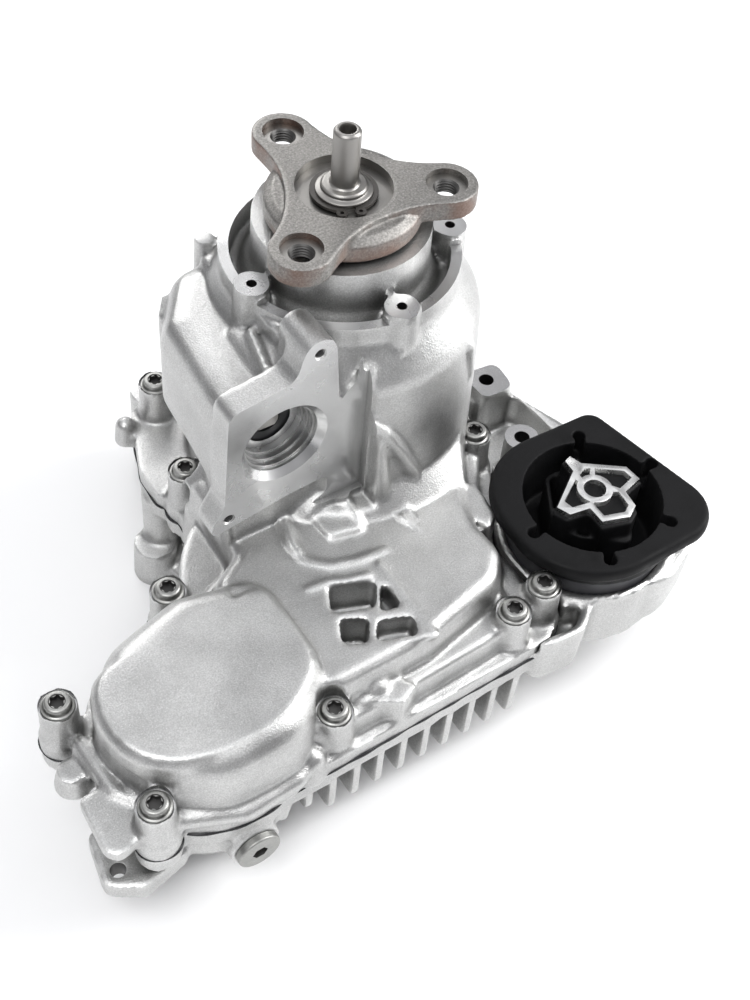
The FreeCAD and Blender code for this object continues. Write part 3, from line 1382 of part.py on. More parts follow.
def make_fasteners():
    """Seam screws, hollow dowels, plugs and the sealant bead."""
    screws = []
    for place in SCREWS:
        screw = screw_solid()
        screw.translate(place + Vector(0, 0, size.screw_seat_level))
        screws.append(screw)
    shaped("housing_screws", Part.makeCompound(screws))
    middle = (size.seam_level + rear_foot) / 2
    half = size.dowel_length / 2
    dowels = [tube(SCREWS[index], size.dowel_radius, size.dowel_radius - size.dowel_wall, middle - half, middle + half)
              for index in DOWEL_SCREWS]
    shaped("locating_dowels", Part.makeCompound(dowels))
    drain = FRONT + PLUG_PLACE
    shaped("drain_plug", plug_solid(), facing(Vector(drain.x, drain.y - 12, size.drain_level), DRAIN_TILT))
    shaped("fill_plug", plug_solid(), facing(fill_plug_place(), fill_plug_axis()))
    bead = seam_block(size.seam_level, rear_foot)
    cutters = gear_cavities(size.seam_level - 1, rear_foot + 1)
    cutters += [cylinder(MAIN, size.bell_base_radius - size.bell_wall - 5, size.seam_level - 1, rear_foot + 1)]
    cutters += [cylinder(screw, size.dowel_radius + 0.4, size.seam_level - 1, rear_foot + 1) for screw in SCREWS]
    cutters += tab_slots()
    cutters.append(mount_relief())
    shaped("seam_sealant", less(bead, cutters))


def facing(point, axis):
    """A placement that stands a turned piece at a point along an axis."""
    return FreeCAD.Placement(point, FreeCAD.Rotation(UP, axis))


def plug_solid():
    """A threaded plug with a hexagon socket, its head's seat at the origin."""
    solid = revolved([
        (0.0, -size.plug_length, 0.1), (size.plug_radius, -size.plug_length, 0.5), (size.plug_radius, 0.0, 0.1),
        (size.plug_head_radius, 0.0, 0.3), (size.plug_head_radius, size.plug_head_height, 1),
        (0.0, size.plug_head_height, 0.1),
    ])
    socket = Part.Face(Part.makePolygon([polar(size.plug_socket_radius, 60 * k) for k in range(7)]))
    socket.translate(Vector(0, 0, -2))
    return solid.cut(socket.extrude(Vector(0, 0, 10)))


def make_mount():
    """The rubber mount in its sleeve, with the extruded core."""
    turned("mount_sleeve", [
        ("sleeve_radius - sleeve_wall", "sleeve_foot + 0.05"), ("sleeve_radius", "sleeve_foot + 0.05"),
        ("sleeve_radius", "sleeve_top"), ("sleeve_radius - sleeve_wall", "sleeve_top"),
    ], at(MOUNT))
    x = MOUNT.x
    y = MOUNT.y
    radius = size.rubber_plate_radius
    body_radius = size.sleeve_radius - size.sleeve_wall - size.seat_gap
    foot = size.rubber_plate_foot
    top = size.rubber_top
    plate = cast_block([
        (x - radius, y - radius + 1.5, 44), (x + radius + 6, y - radius + 4, 22),
        (x + radius - 13, y + radius - 2, 9), (x - radius, y + radius, 46),
    ], [(foot, 0.8), (foot + 1.2, 0), (top - 3, 0), (top - 0.9, 0.8), (top, 2.4)])
    skirt = tapered(MOUNT, size.mount_ring_radius - 1.5, size.mount_ring_radius + 0.3, size.sleeve_top + 2, foot + 1)
    solid = joined([plate, skirt, cylinder(MOUNT, body_radius, size.rubber_foot, foot + 1)])
    opening = cylinder(MOUNT, size.rubber_opening_radius, size.rubber_floor, size.rubber_top + 1)
    notches = []
    for notch in NOTCHES:
        centre = polar(size.rubber_opening_radius + 5, notch, MOUNT)
        notches.append(cylinder(centre, 3.4, foot - 7, top + 1))
        slot = Part.makeBox(9, 5.4, top - foot + 8, Vector(0, -2.7, foot - 7))
        slot.rotate(Vector(), UP, notch)
        slot.translate(polar(size.rubber_opening_radius - 4, notch, MOUNT))
        notches.append(slot)
    solid = less(solid, [opening] + notches)
    pedestal = core_block(2.5, size.rubber_foot, size.core_top - 14)
    solid = joined([solid, pedestal]).cut(core_block(size.seat_gap, size.core_foot - 1, size.core_top + 1))
    shaped("rubber_mount", solid)
    shaped("mount_core", core_block(0, size.core_foot, size.core_top).cut(core_pockets()))


NOTCHES = (3, 62, 186, 244, 306)
CORE_TURN = -38.0


def core_block(grow, foot, top):
    """The extruded core's outline, grown by a little, as an upright block."""
    x = MOUNT.x
    y = MOUNT.y
    corners = [
        (-17, -15, 2), (-4, -19, 2), (19, -19, 2), (19, -3, 2), (15.5, 3, 1.5), (21, 10, 2),
        (9, 21, 2), (-17, 19, 2), (-21, 15, 2),
    ]
    corners = inset_corners(corners, -grow) if grow else corners
    block = outline_block(corners, foot, top)
    block.rotate(Vector(), UP, CORE_TURN)
    block.translate(Vector(x, y, 0))
    return block


def core_pockets():
    """The core's through bore and its four hollow cells."""
    wall = size.core_wall
    foot = size.core_foot - 1
    top = size.core_top + 1
    cells = [
        outline_block([(-16 + wall, -16 + wall, 1.5), (-3, -16.5, 1.5), (-3, -9, 1.5), (-9, -3, 1.5),
                       (-17.3, -3, 1.5)], foot, top),
        outline_block([(2, -16, 1.5), (16, -16, 1.5), (16, -4, 1.5), (9, -3, 1.5), (2, -9, 1.5)], foot, top),
        outline_block([(12, 4, 1.5), (17, 9.5, 1.5), (8, 18, 1.5), (2, 17.5, 1.5), (2, 9, 1.5)], foot, top),
        outline_block([(-9, 3, 1.5), (-2, 10, 1.5), (-2, 16.8, 1.5), (-15, 16, 1.5), (-17.8, 12, 1.5),
                       (-17.8, 3, 1.5)], foot, top),
    ]
    hub = cylinder(Vector(), size.core_hub_radius, foot, top)
    pockets = cells[0].multiFuse(cells[1:]).cut(hub)
    pockets = pockets.fuse(cylinder(Vector(), size.core_bore_radius, foot, top))
    pockets.rotate(Vector(), UP, CORE_TURN)
    pockets.translate(MOUNT)
    return pockets


make_shaft_line()
make_output_flange()
make_gear_train()
make_front_output()
make_clutch()
make_ball_ramp()
make_worm()
make_mount()
make_rear_housing()
make_front_housing()
make_fasteners()

doc.recompute()
for thing in doc.Objects:
    if "Invalid" in thing.State or "Error" in thing.State:
        raise RuntimeError("%s did not recompute: %s" % (thing.Label, thing.State))
unsound = [label for label, thing in parts.items()
           if thing.Shape.isNull() or not thing.Shape.isValid() or not thing.Shape.Solids]
if unsound:
    raise RuntimeError("no valid solid: " + ", ".join(unsound))

os.makedirs("parts", exist_ok=True)
for label, thing in parts.items():
    thing.Shape.exportStep("parts/%s.step" % label)
    print("%-28s %3d solids %10.0f mm3" % (label, len(thing.Shape.Solids), thing.Shape.Volume))
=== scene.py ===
"""Looks of a two-axis transfer case: shot-blasted castings, a forged flange, screws and a rubber mount."""
import json
import logging
import math
from dataclasses import dataclass, field
from enum import Enum
from typing import Sequence

import bmesh
import bpy
import numpy as np
from mathutils import Matrix, Vector

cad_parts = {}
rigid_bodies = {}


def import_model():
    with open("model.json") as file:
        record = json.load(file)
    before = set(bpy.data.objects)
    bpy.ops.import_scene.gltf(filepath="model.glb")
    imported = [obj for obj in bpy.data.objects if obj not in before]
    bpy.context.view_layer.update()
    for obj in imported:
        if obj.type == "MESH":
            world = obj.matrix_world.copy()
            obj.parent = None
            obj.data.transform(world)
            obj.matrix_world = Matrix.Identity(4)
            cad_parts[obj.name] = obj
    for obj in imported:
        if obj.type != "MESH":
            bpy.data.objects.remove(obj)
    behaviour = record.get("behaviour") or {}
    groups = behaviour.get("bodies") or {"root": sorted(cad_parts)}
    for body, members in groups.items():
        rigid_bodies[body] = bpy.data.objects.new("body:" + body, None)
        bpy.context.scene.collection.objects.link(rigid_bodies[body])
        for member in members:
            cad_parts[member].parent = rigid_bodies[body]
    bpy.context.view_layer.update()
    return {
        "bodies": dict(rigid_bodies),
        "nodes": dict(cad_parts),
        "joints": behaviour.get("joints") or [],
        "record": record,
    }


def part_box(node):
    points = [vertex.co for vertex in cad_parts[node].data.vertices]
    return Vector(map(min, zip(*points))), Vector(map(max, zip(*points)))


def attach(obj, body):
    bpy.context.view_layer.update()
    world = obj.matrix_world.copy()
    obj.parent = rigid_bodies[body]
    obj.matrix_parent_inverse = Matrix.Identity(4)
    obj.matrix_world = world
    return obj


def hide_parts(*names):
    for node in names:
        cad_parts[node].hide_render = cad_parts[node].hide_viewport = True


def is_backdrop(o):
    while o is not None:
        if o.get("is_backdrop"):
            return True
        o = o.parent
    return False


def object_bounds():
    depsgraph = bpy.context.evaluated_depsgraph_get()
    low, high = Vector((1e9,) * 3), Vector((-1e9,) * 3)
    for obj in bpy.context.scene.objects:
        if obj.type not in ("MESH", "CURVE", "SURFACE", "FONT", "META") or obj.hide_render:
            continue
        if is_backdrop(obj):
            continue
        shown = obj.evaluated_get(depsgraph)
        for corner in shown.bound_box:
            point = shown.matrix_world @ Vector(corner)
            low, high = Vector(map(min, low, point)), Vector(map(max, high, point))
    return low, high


log = logging.getLogger("transfer_case")

MM = 0.001
WELD = 2e-6
UPWARD = (0.0, 0.0, 1.0)
DOWNWARD = (0.0, 0.0, -1.0)
OUTWARD = (0.0, -1.0, 0.0)
MACHINED_INDEX = 1
# Slot of the dark finish painted in holes where they lie in shade.
BORE_SHADE_INDEX = 2


class Body(str, Enum):
    """The bodies that pieces ride on."""

    CASE = "case"
    SHAFT = "main_shaft"


class Slot(str, Enum):
    """The material slots of the record, one passed with each new piece when it is seated."""

    CASTING = "cast_aluminium"
    FORGING = "forged_steel"
    SCREW = "zinc_steel"
    RUBBER = "mount_rubber"
    CORE = "extruded_aluminium"
    SEALANT = "black_sealant"
    SHAFT = "ground_steel"


class Turn(Enum):
    """Euler angles that lay a tool standing on Z along another axis."""

    UPRIGHT = (0.0, 0.0, 0.0)
    ALONG_Y = (-math.pi / 2, 0.0, 0.0)


def millimetres(*values: float) -> Vector:
    """A point or a step given in millimetres, in metres."""
    return Vector(values) * MM


def polar(reach: float, bearing: float, level: float) -> Vector:
    """A point round the main axis, in metres.

    Args:
        reach: distance from the axis in millimetres.
        bearing: angle from +X in degrees.
        level: height in millimetres.
    """
    angle = math.radians(bearing)
    return millimetres(reach * math.cos(angle), reach * math.sin(angle), level)


def pick(*objects: bpy.types.Object) -> bpy.types.Object:
    """Select these objects alone and make the first one active."""
    bpy.ops.object.select_all(action="DESELECT")
    for thing in objects:
        thing.select_set(True)
    bpy.context.view_layer.objects.active = objects[0]
    return objects[0]


def settle(piece: bpy.types.Object) -> bpy.types.Object:
    """Put a piece's place, turn and scale into its mesh."""
    pick(piece)
    bpy.ops.object.transform_apply(location=True, rotation=True, scale=True)
    return piece


def finish_modifiers(piece: bpy.types.Object) -> bpy.types.Object:
    """Apply every modifier of a piece, in order."""
    pick(piece)
    for modifier in list(piece.modifiers):
        bpy.ops.object.modifier_apply(modifier=modifier.name)
    return piece


def linked(name: str, data: bpy.types.ID) -> bpy.types.Object:
    """A new object in the scene that holds this data."""
    thing = bpy.data.objects.new(name, data)
    bpy.context.scene.collection.objects.link(thing)
    return thing


def reskin(piece: bpy.types.Object, voxel: float, passes: int) -> None:
    """Give a piece whose solids may overlap one closed skin with soft edges.

    Args:
        piece: the piece.
        voxel: size of the new skin's faces in millimetres.
        passes: how often the skin is smoothed.
    """
    remesh = piece.modifiers.new("one skin", "REMESH")
    remesh.mode = "VOXEL"
    remesh.voxel_size = voxel * MM
    smooth = piece.modifiers.new("soft edges", "SMOOTH")
    smooth.factor = 0.5
    smooth.iterations = passes
    finish_modifiers(piece)


def thin_out(piece: bpy.types.Object, share: float) -> None:
    """Keep only a share of a piece's faces."""
    fewer = piece.modifiers.new("fewer faces", "DECIMATE")
    fewer.ratio = share
    finish_modifiers(piece)


def break_edges(piece: bpy.types.Object, width: float, angle: float) -> None:
    """Bevel the edges that bend by more than an angle in degrees, the width in millimetres."""
    edge = piece.modifiers.new("broken edges", "BEVEL")
    edge.width = width * MM
    edge.segments = 2
    edge.limit_method = "ANGLE"
    edge.angle_limit = math.radians(angle)
    finish_modifiers(piece)


def extrude_up(sheet: bpy.types.Object, height: float) -> bpy.types.Object:
    """Extrude a flat sheet into a closed block whose faces point outwards, the height in millimetres."""
    pick(sheet)
    bpy.ops.object.mode_set(mode="EDIT")
    bpy.ops.mesh.select_all(action="SELECT")
    bpy.ops.mesh.extrude_region_move(TRANSFORM_OT_translate={"value": (0, 0, height * MM)})
    bpy.ops.mesh.select_all(action="SELECT")
    bpy.ops.mesh.normals_make_consistent(inside=False)
    bpy.ops.object.mode_set(mode="OBJECT")
    return sheet


def scaled(outline: Sequence[Sequence[float]], middle: Sequence[float], share: float) -> list[Vector]:
    """An outline made larger or smaller about its middle."""
    centre = Vector(middle)
    return [centre + (Vector(corner) - centre) * share for corner in outline]


def copy_of(node: str, name: str) -> bpy.types.Object:
    """A piece that starts as a construction node's mesh, with its doubles merged."""
    piece = linked(name, bpy.data.objects[node].data.copy())
    piece.data.materials.clear()
    pick(piece)
    bpy.ops.object.mode_set(mode="EDIT")
    bpy.ops.mesh.select_all(action="SELECT")
    bpy.ops.mesh.remove_doubles(threshold=WELD)
    bpy.ops.object.mode_set(mode="OBJECT")
    return piece


def middle_of(node: str) -> Vector:
    """The middle of a construction node's box."""
    low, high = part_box(node)
    return (low + high) / 2


def welded(node: str) -> bmesh.types.BMesh:
    """A construction node's mesh with its doubles merged, to be read and freed."""
    grid = bmesh.new()
    grid.from_mesh(bpy.data.objects[node].data)
    bmesh.ops.remove_doubles(grid, verts=grid.verts, dist=WELD)
    return grid


def loose_parts(node: str) -> list[tuple[Vector, Vector]]:
    """Boxes of the separate solids in a construction node in metres, sorted by their low corners."""
    grid = welded(node)
    left = set(grid.verts)
    boxes = []
    while left:
        edge_of_part = [left.pop()]
        part = list(edge_of_part)
        while edge_of_part:
            vertex = edge_of_part.pop()
            for link in vertex.link_edges:
                other = link.other_vert(vertex)
                if other in left:
                    left.remove(other)
                    edge_of_part.append(other)
                    part.append(other)
        places = np.array([v.co for v in part])
        boxes.append((Vector(places.min(0)), Vector(places.max(0))))
    grid.free()
    return sorted(boxes, key=lambda box: tuple(box[0]))


def outer_loop(node: str) -> list[Vector]:
    """The outline of a thin flat node, as points in order round its longest edge loop."""
    low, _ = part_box(node)
    grid = welded(node)
    flat = [face for face in grid.faces if all(abs(v.co.z - low.z) < 1e-5 for v in face.verts)]
    inside = set(flat)
    rim = dict.fromkeys(edge for face in flat for edge in face.edges
                        if sum(other in inside for other in edge.link_faces) == 1)
    loops = []
    while rim:
        edge, _ = rim.popitem()
        start, here = edge.verts
        loop = [start, here]
        while here != start:
            edge = next((e for e in here.link_edges if e in rim), None)
            if edge is None:
                break
            rim.pop(edge)
            here = edge.other_vert(here)
            loop.append(here)
        loops.append([v.co.copy() for v in loop[:-1]])
    grid.free()
    return max(loops, key=lambda loop: sum((a - b).length for a, b in zip(loop, loop[1:])))


class Tools:
    """Plain tools that add stock to a piece or cut it, as in a machine shop."""

    @staticmethod
    def rod(place: Vector, radius: float, length: float, turn: Turn = Turn.UPRIGHT,
            far_radius: float | None = None, sides: int = 64) -> bpy.types.Object:
        """A closed rod or cone that starts at a place.

        Args:
            place: centre of the near end in metres.
            radius: near radius in millimetres.
            length: length in millimetres.
            turn: the axis it runs along.
            far_radius: far radius in millimetres, the near one when left out.
            sides: facets round it.

        Returns:
            The rod, settled.
        """
        bpy.ops.object.select_all(action="DESELECT")
        far = radius if far_radius is None else far_radius
        lean = Matrix.Rotation(turn.value[0], 3, "X")
        centre = place + lean @ millimetres(0, 0, length / 2)
        bpy.ops.mesh.primitive_cone_add(vertices=sides, radius1=radius * MM, radius2=far * MM,
                                        depth=length * MM, location=centre, rotation=turn.value)
        return settle(bpy.context.active_object)

    @staticmethod
    def on_axis(foot: float, radius: float, height: float, sides: int = 96,
                far_radius: float | None = None) -> bpy.types.Object:
        """A rod on the main axis, in millimetres."""
        return Tools.rod(millimetres(0, 0, foot), radius, height, far_radius=far_radius, sides=sides)

    @staticmethod
    def block(low: Vector, high: Vector) -> bpy.types.Object:
        """A closed block between two corners in metres."""
        bpy.ops.object.select_all(action="DESELECT")
        bpy.ops.mesh.primitive_cube_add(size=1.0, location=(low + high) / 2)
        box = bpy.context.active_object
        box.scale = high - low
        return settle(box)

    @staticmethod
    def ridge(points: Sequence[Sequence[float]], radius: float) -> list[bpy.types.Object]:
        """Round bars along a line of points in millimetres, with balls at its bends."""
        bars = []
        places = [millimetres(*point) for point in points]
        for start, end in zip(places, places[1:]):
            run = end - start
            bpy.ops.object.select_all(action="DESELECT")
            bpy.ops.mesh.primitive_cylinder_add(vertices=24, radius=radius * MM, depth=run.length,
                                                location=(start + end) / 2,
                                                rotation=run.to_track_quat("Z", "Y").to_euler())
            bars.append(settle(bpy.context.active_object))
        for place in places:
            bpy.ops.object.select_all(action="DESELECT")
            bpy.ops.mesh.primitive_ico_sphere_add(subdivisions=3, radius=radius * MM, location=place)
            bars.append(settle(bpy.context.active_object))
        return bars

    @staticmethod
    def prism(outline: Sequence[Sequence[float]], foot: float, top: float) -> bpy.types.Object:
        """An upright block over a counterclockwise outline, in millimetres."""
        bpy.ops.object.select_all(action="DESELECT")
        bpy.ops.mesh.primitive_circle_add(vertices=len(outline), radius=MM, fill_type="NGON")
        block = bpy.context.active_object
        for vertex, point in zip(block.data.vertices, outline):
            vertex.co = millimetres(*point, foot)
        return extrude_up(block, top - foot)

    @staticmethod
    def merge(tools: Sequence[bpy.types.Object]) -> bpy.types.Object:
        """Join pieces into the first one."""
        first = pick(*tools)
        if len(tools) > 1:
            bpy.ops.object.join()
        return first

    @staticmethod
    def cut(piece: bpy.types.Object, *tools: bpy.types.Object) -> None:
        """Cut tools that don't overlap out of a closed piece, and throw them away."""
        tool = Tools.merge(tools)
        modifier = piece.modifiers.new("machining", "BOOLEAN")
        modifier.operation = "DIFFERENCE"
        modifier.solver = "MANIFOLD"
        modifier.object = tool
        before = len(piece.data.polygons)
        finish_modifiers(piece)
        if len(piece.data.polygons) == before:
            log.warning("a cut left %s as it was", piece.name)
        bpy.data.objects.remove(tool)

    @staticmethod
    def raise_face(piece: bpy.types.Object, axis: int, level: float, shift: float) -> None:
        """Give a flat face stock: move its vertices along one axis.

        Args:
            piece: the piece.
            axis: 0, 1 or 2 for X, Y or Z.
            level: where the face lies, in millimetres.
            shift: how far it moves, in millimetres.
        """
        for vertex in piece.data.vertices:
            if abs(vertex.co[axis] - level * MM) < 2e-5:
                vertex.co[axis] += shift * MM


def lathe(profile: Sequence[tuple[float, float]], sides: int = 64) -> bpy.types.Object:
    """Turn a closed piece from (radius, height) steps.

    Args:
        profile: radius and height of each step in millimetres, from the foot up; no radius is zero.
        sides: facets round it.

    Returns:
        The piece, standing on the origin's axis.
    """
    bpy.ops.object.select_all(action="DESELECT")
    radius, level = profile[0]
    bpy.ops.mesh.primitive_circle_add(vertices=sides, radius=radius * MM, fill_type="NGON",
                                      location=(0, 0, level * MM))
    piece = bpy.context.active_object
    bpy.ops.object.mode_set(mode="EDIT")
    bpy.ops.mesh.select_all(action="SELECT")
    for next_radius, next_level in profile[1:]:
        rise = (next_level - level) * MM
        bpy.ops.mesh.extrude_region_move(TRANSFORM_OT_translate={"value": (0, 0, rise)})
        ratio = next_radius / radius
        bpy.ops.transform.resize(value=(ratio, ratio, 1))
        radius, level = next_radius, next_level
    bpy.ops.mesh.select_all(action="SELECT")
    bpy.ops.mesh.normals_make_consistent(inside=False)
    bpy.ops.object.mode_set(mode="OBJECT")
    return settle(piece)


def thread_tool(place: Vector, minor: float, major: float, pitch: float, length: float,
                turn: Turn = Turn.UPRIGHT) -> bpy.types.Object:
    """A tap: a rod with thread ridges, which leaves a threaded hole where it is cut out.

    Args:
        place: centre of the hole's near end in metres.
        minor: radius of the thread's crests in millimetres.
        major: radius of the thread's roots in millimetres.
        pitch: distance between ridges in millimetres.
        length: length in millimetres.
        turn: the axis it runs along.

    Returns:
        The tool.
    """
    steps = [(major + pitch * 0.45, -0.2), (minor, major - minor + pitch * 0.4)]
    level = steps[-1][1]
    while level + pitch < length:
        steps += [(minor, level + pitch * 0.2), (major, level + pitch * 0.55), (major, level + pitch * 0.65)]
        level += pitch
        steps.append((minor, level))
    steps.append((minor, length))
    tool = lathe(steps, sides=40)
    tool.rotation_euler = turn.value
    tool.location = place
    return settle(tool)


@dataclass(frozen=True)
class Wiring:
    """Makes the nodes of one tree and links them."""

    tree: bpy.types.NodeTree

    def node(self, kind: str, inputs: dict[str | int, object] | None = None,
             **settings: object) -> bpy.types.Node:
        """Add a node.

        Args:
            kind: the node's type.
            inputs: what each input gets, a value or a socket to link from.
            settings: the node's own settings.

        Returns:
            The node.
        """
        made = self.tree.nodes.new(kind)
        for title, setting in settings.items():
            setattr(made, title, setting)
        for key, value in (inputs or {}).items():
            self.feed(made.inputs[key], value)
        return made

    def feed(self, port: bpy.types.NodeSocket, value: object) -> None:
        """Set an input, or link it where the value is a socket."""
        if isinstance(value, bpy.types.NodeSocket):
            self.tree.links.new(value, port)
        else:
            port.default_value = value

    def ramp(self, value: bpy.types.NodeSocket, start: object, full: object, low: float = 0.0,
             high: float = 1.0) -> bpy.types.NodeSocket:
        """A mask that runs from low to high while a value runs from start to full."""
        made = self.node("ShaderNodeMapRange", {"Value": value, "From Min": start, "From Max": full,
                                                "To Min": low, "To Max": high})
        return made.outputs["Result"]

    def math(self, operation: str, *values: object) -> bpy.types.NodeSocket:
        """The result of a sum, product or other step on set or linked values."""
        return self.node("ShaderNodeMath", dict(enumerate(values)), operation=operation).outputs[0]

    def noise(self, place: bpy.types.NodeSocket, scale: object, detail: float = 2.0,
              roughness: float = 0.5) -> bpy.types.NodeSocket:
        """Cloudy noise over the surface."""
        made = self.node("ShaderNodeTexNoise", {"Vector": place, "Scale": scale, "Detail": detail,
                                                "Roughness": roughness})
        return made.outputs["Fac"]

    def mix(self, factor: bpy.types.NodeSocket, first: object, second: object) -> bpy.types.NodeSocket:
        """A mix of two colours, each set or linked."""
        made = self.node("ShaderNodeMix", {"A": first, "B": second, "Factor": factor}, data_type="RGBA")
        return made.outputs["Result"]


class Grain:
    """Shader groups that several finishes share, each built once."""

    @staticmethod
    def _empty(name: str, inputs: dict[str, float], outputs: Sequence[str]) -> bpy.types.NodeTree:
        """A group with its sockets and no nodes yet."""
        group = bpy.data.node_groups.new(name, "ShaderNodeTree")
        for title, value in inputs.items():
            port = group.interface.new_socket(title, in_out="INPUT", socket_type="NodeSocketFloat")
            port.default_value = value
        for title in outputs:
            group.interface.new_socket(title, in_out="OUTPUT", socket_type="NodeSocketFloat")
        return group

    @staticmethod
    def blasted() -> bpy.types.NodeTree:
        """Grain of a shot-blasted skin: a height for bump, tones that vary over the surface, and flecks for
        painted glints.
        """
        name = "Blasted skin"
        if name in bpy.data.node_groups:
            return bpy.data.node_groups[name]
        group = Grain._empty(name, {"Grain scale": 1500.0, "Patch scale": 26.0},
                            ("Height", "Tone", "Glint flecks", "Fine"))
        wiring = Wiring(group)
        entry = wiring.node("NodeGroupInput")
        place = wiring.node("ShaderNodeTexCoord").outputs["Object"]
        scale = entry.outputs["Grain scale"]
        small = wiring.noise(place, scale, roughness=0.62)
        large = wiring.noise(place, wiring.math("MULTIPLY", scale, 0.3))
        fleck = wiring.node("ShaderNodeTexVoronoi",
                            {"Vector": place, "Scale": wiring.math("MULTIPLY", scale, 0.7)})
        wiring.node("NodeGroupOutput", {
            "Height": wiring.math("MULTIPLY_ADD", large, 0.36, small),
            "Tone": wiring.noise(place, entry.outputs["Patch scale"], detail=4.0, roughness=0.6),
            "Glint flecks": wiring.ramp(fleck.outputs["Distance"], 0.0, 0.34, 1.0, 0.0),
            "Fine": small,
        })
        return group

    @staticmethod
    def edges() -> bpy.types.NodeTree:
        """Masks for painted highlight on a surface's ridges and painted shade in its hollows, from how
        sharply the mesh bends.
        """
        name = "Ridges and hollows"
        if name in bpy.data.node_groups:
            return bpy.data.node_groups[name]
        levels = {"Ridge start": 0.505, "Ridge full": 0.58, "Hollow start": 0.495, "Hollow full": 0.42}
        group = Grain._empty(name, levels, ("Ridge", "Hollow"))
        wiring = Wiring(group)
        entry = wiring.node("NodeGroupInput")
        bend = wiring.node("ShaderNodeNewGeometry").outputs["Pointiness"]
        wiring.node("NodeGroupOutput", {
            title: wiring.ramp(bend, entry.outputs[title + " start"], entry.outputs[title + " full"])
            for title in ("Ridge", "Hollow")
        })
        return group


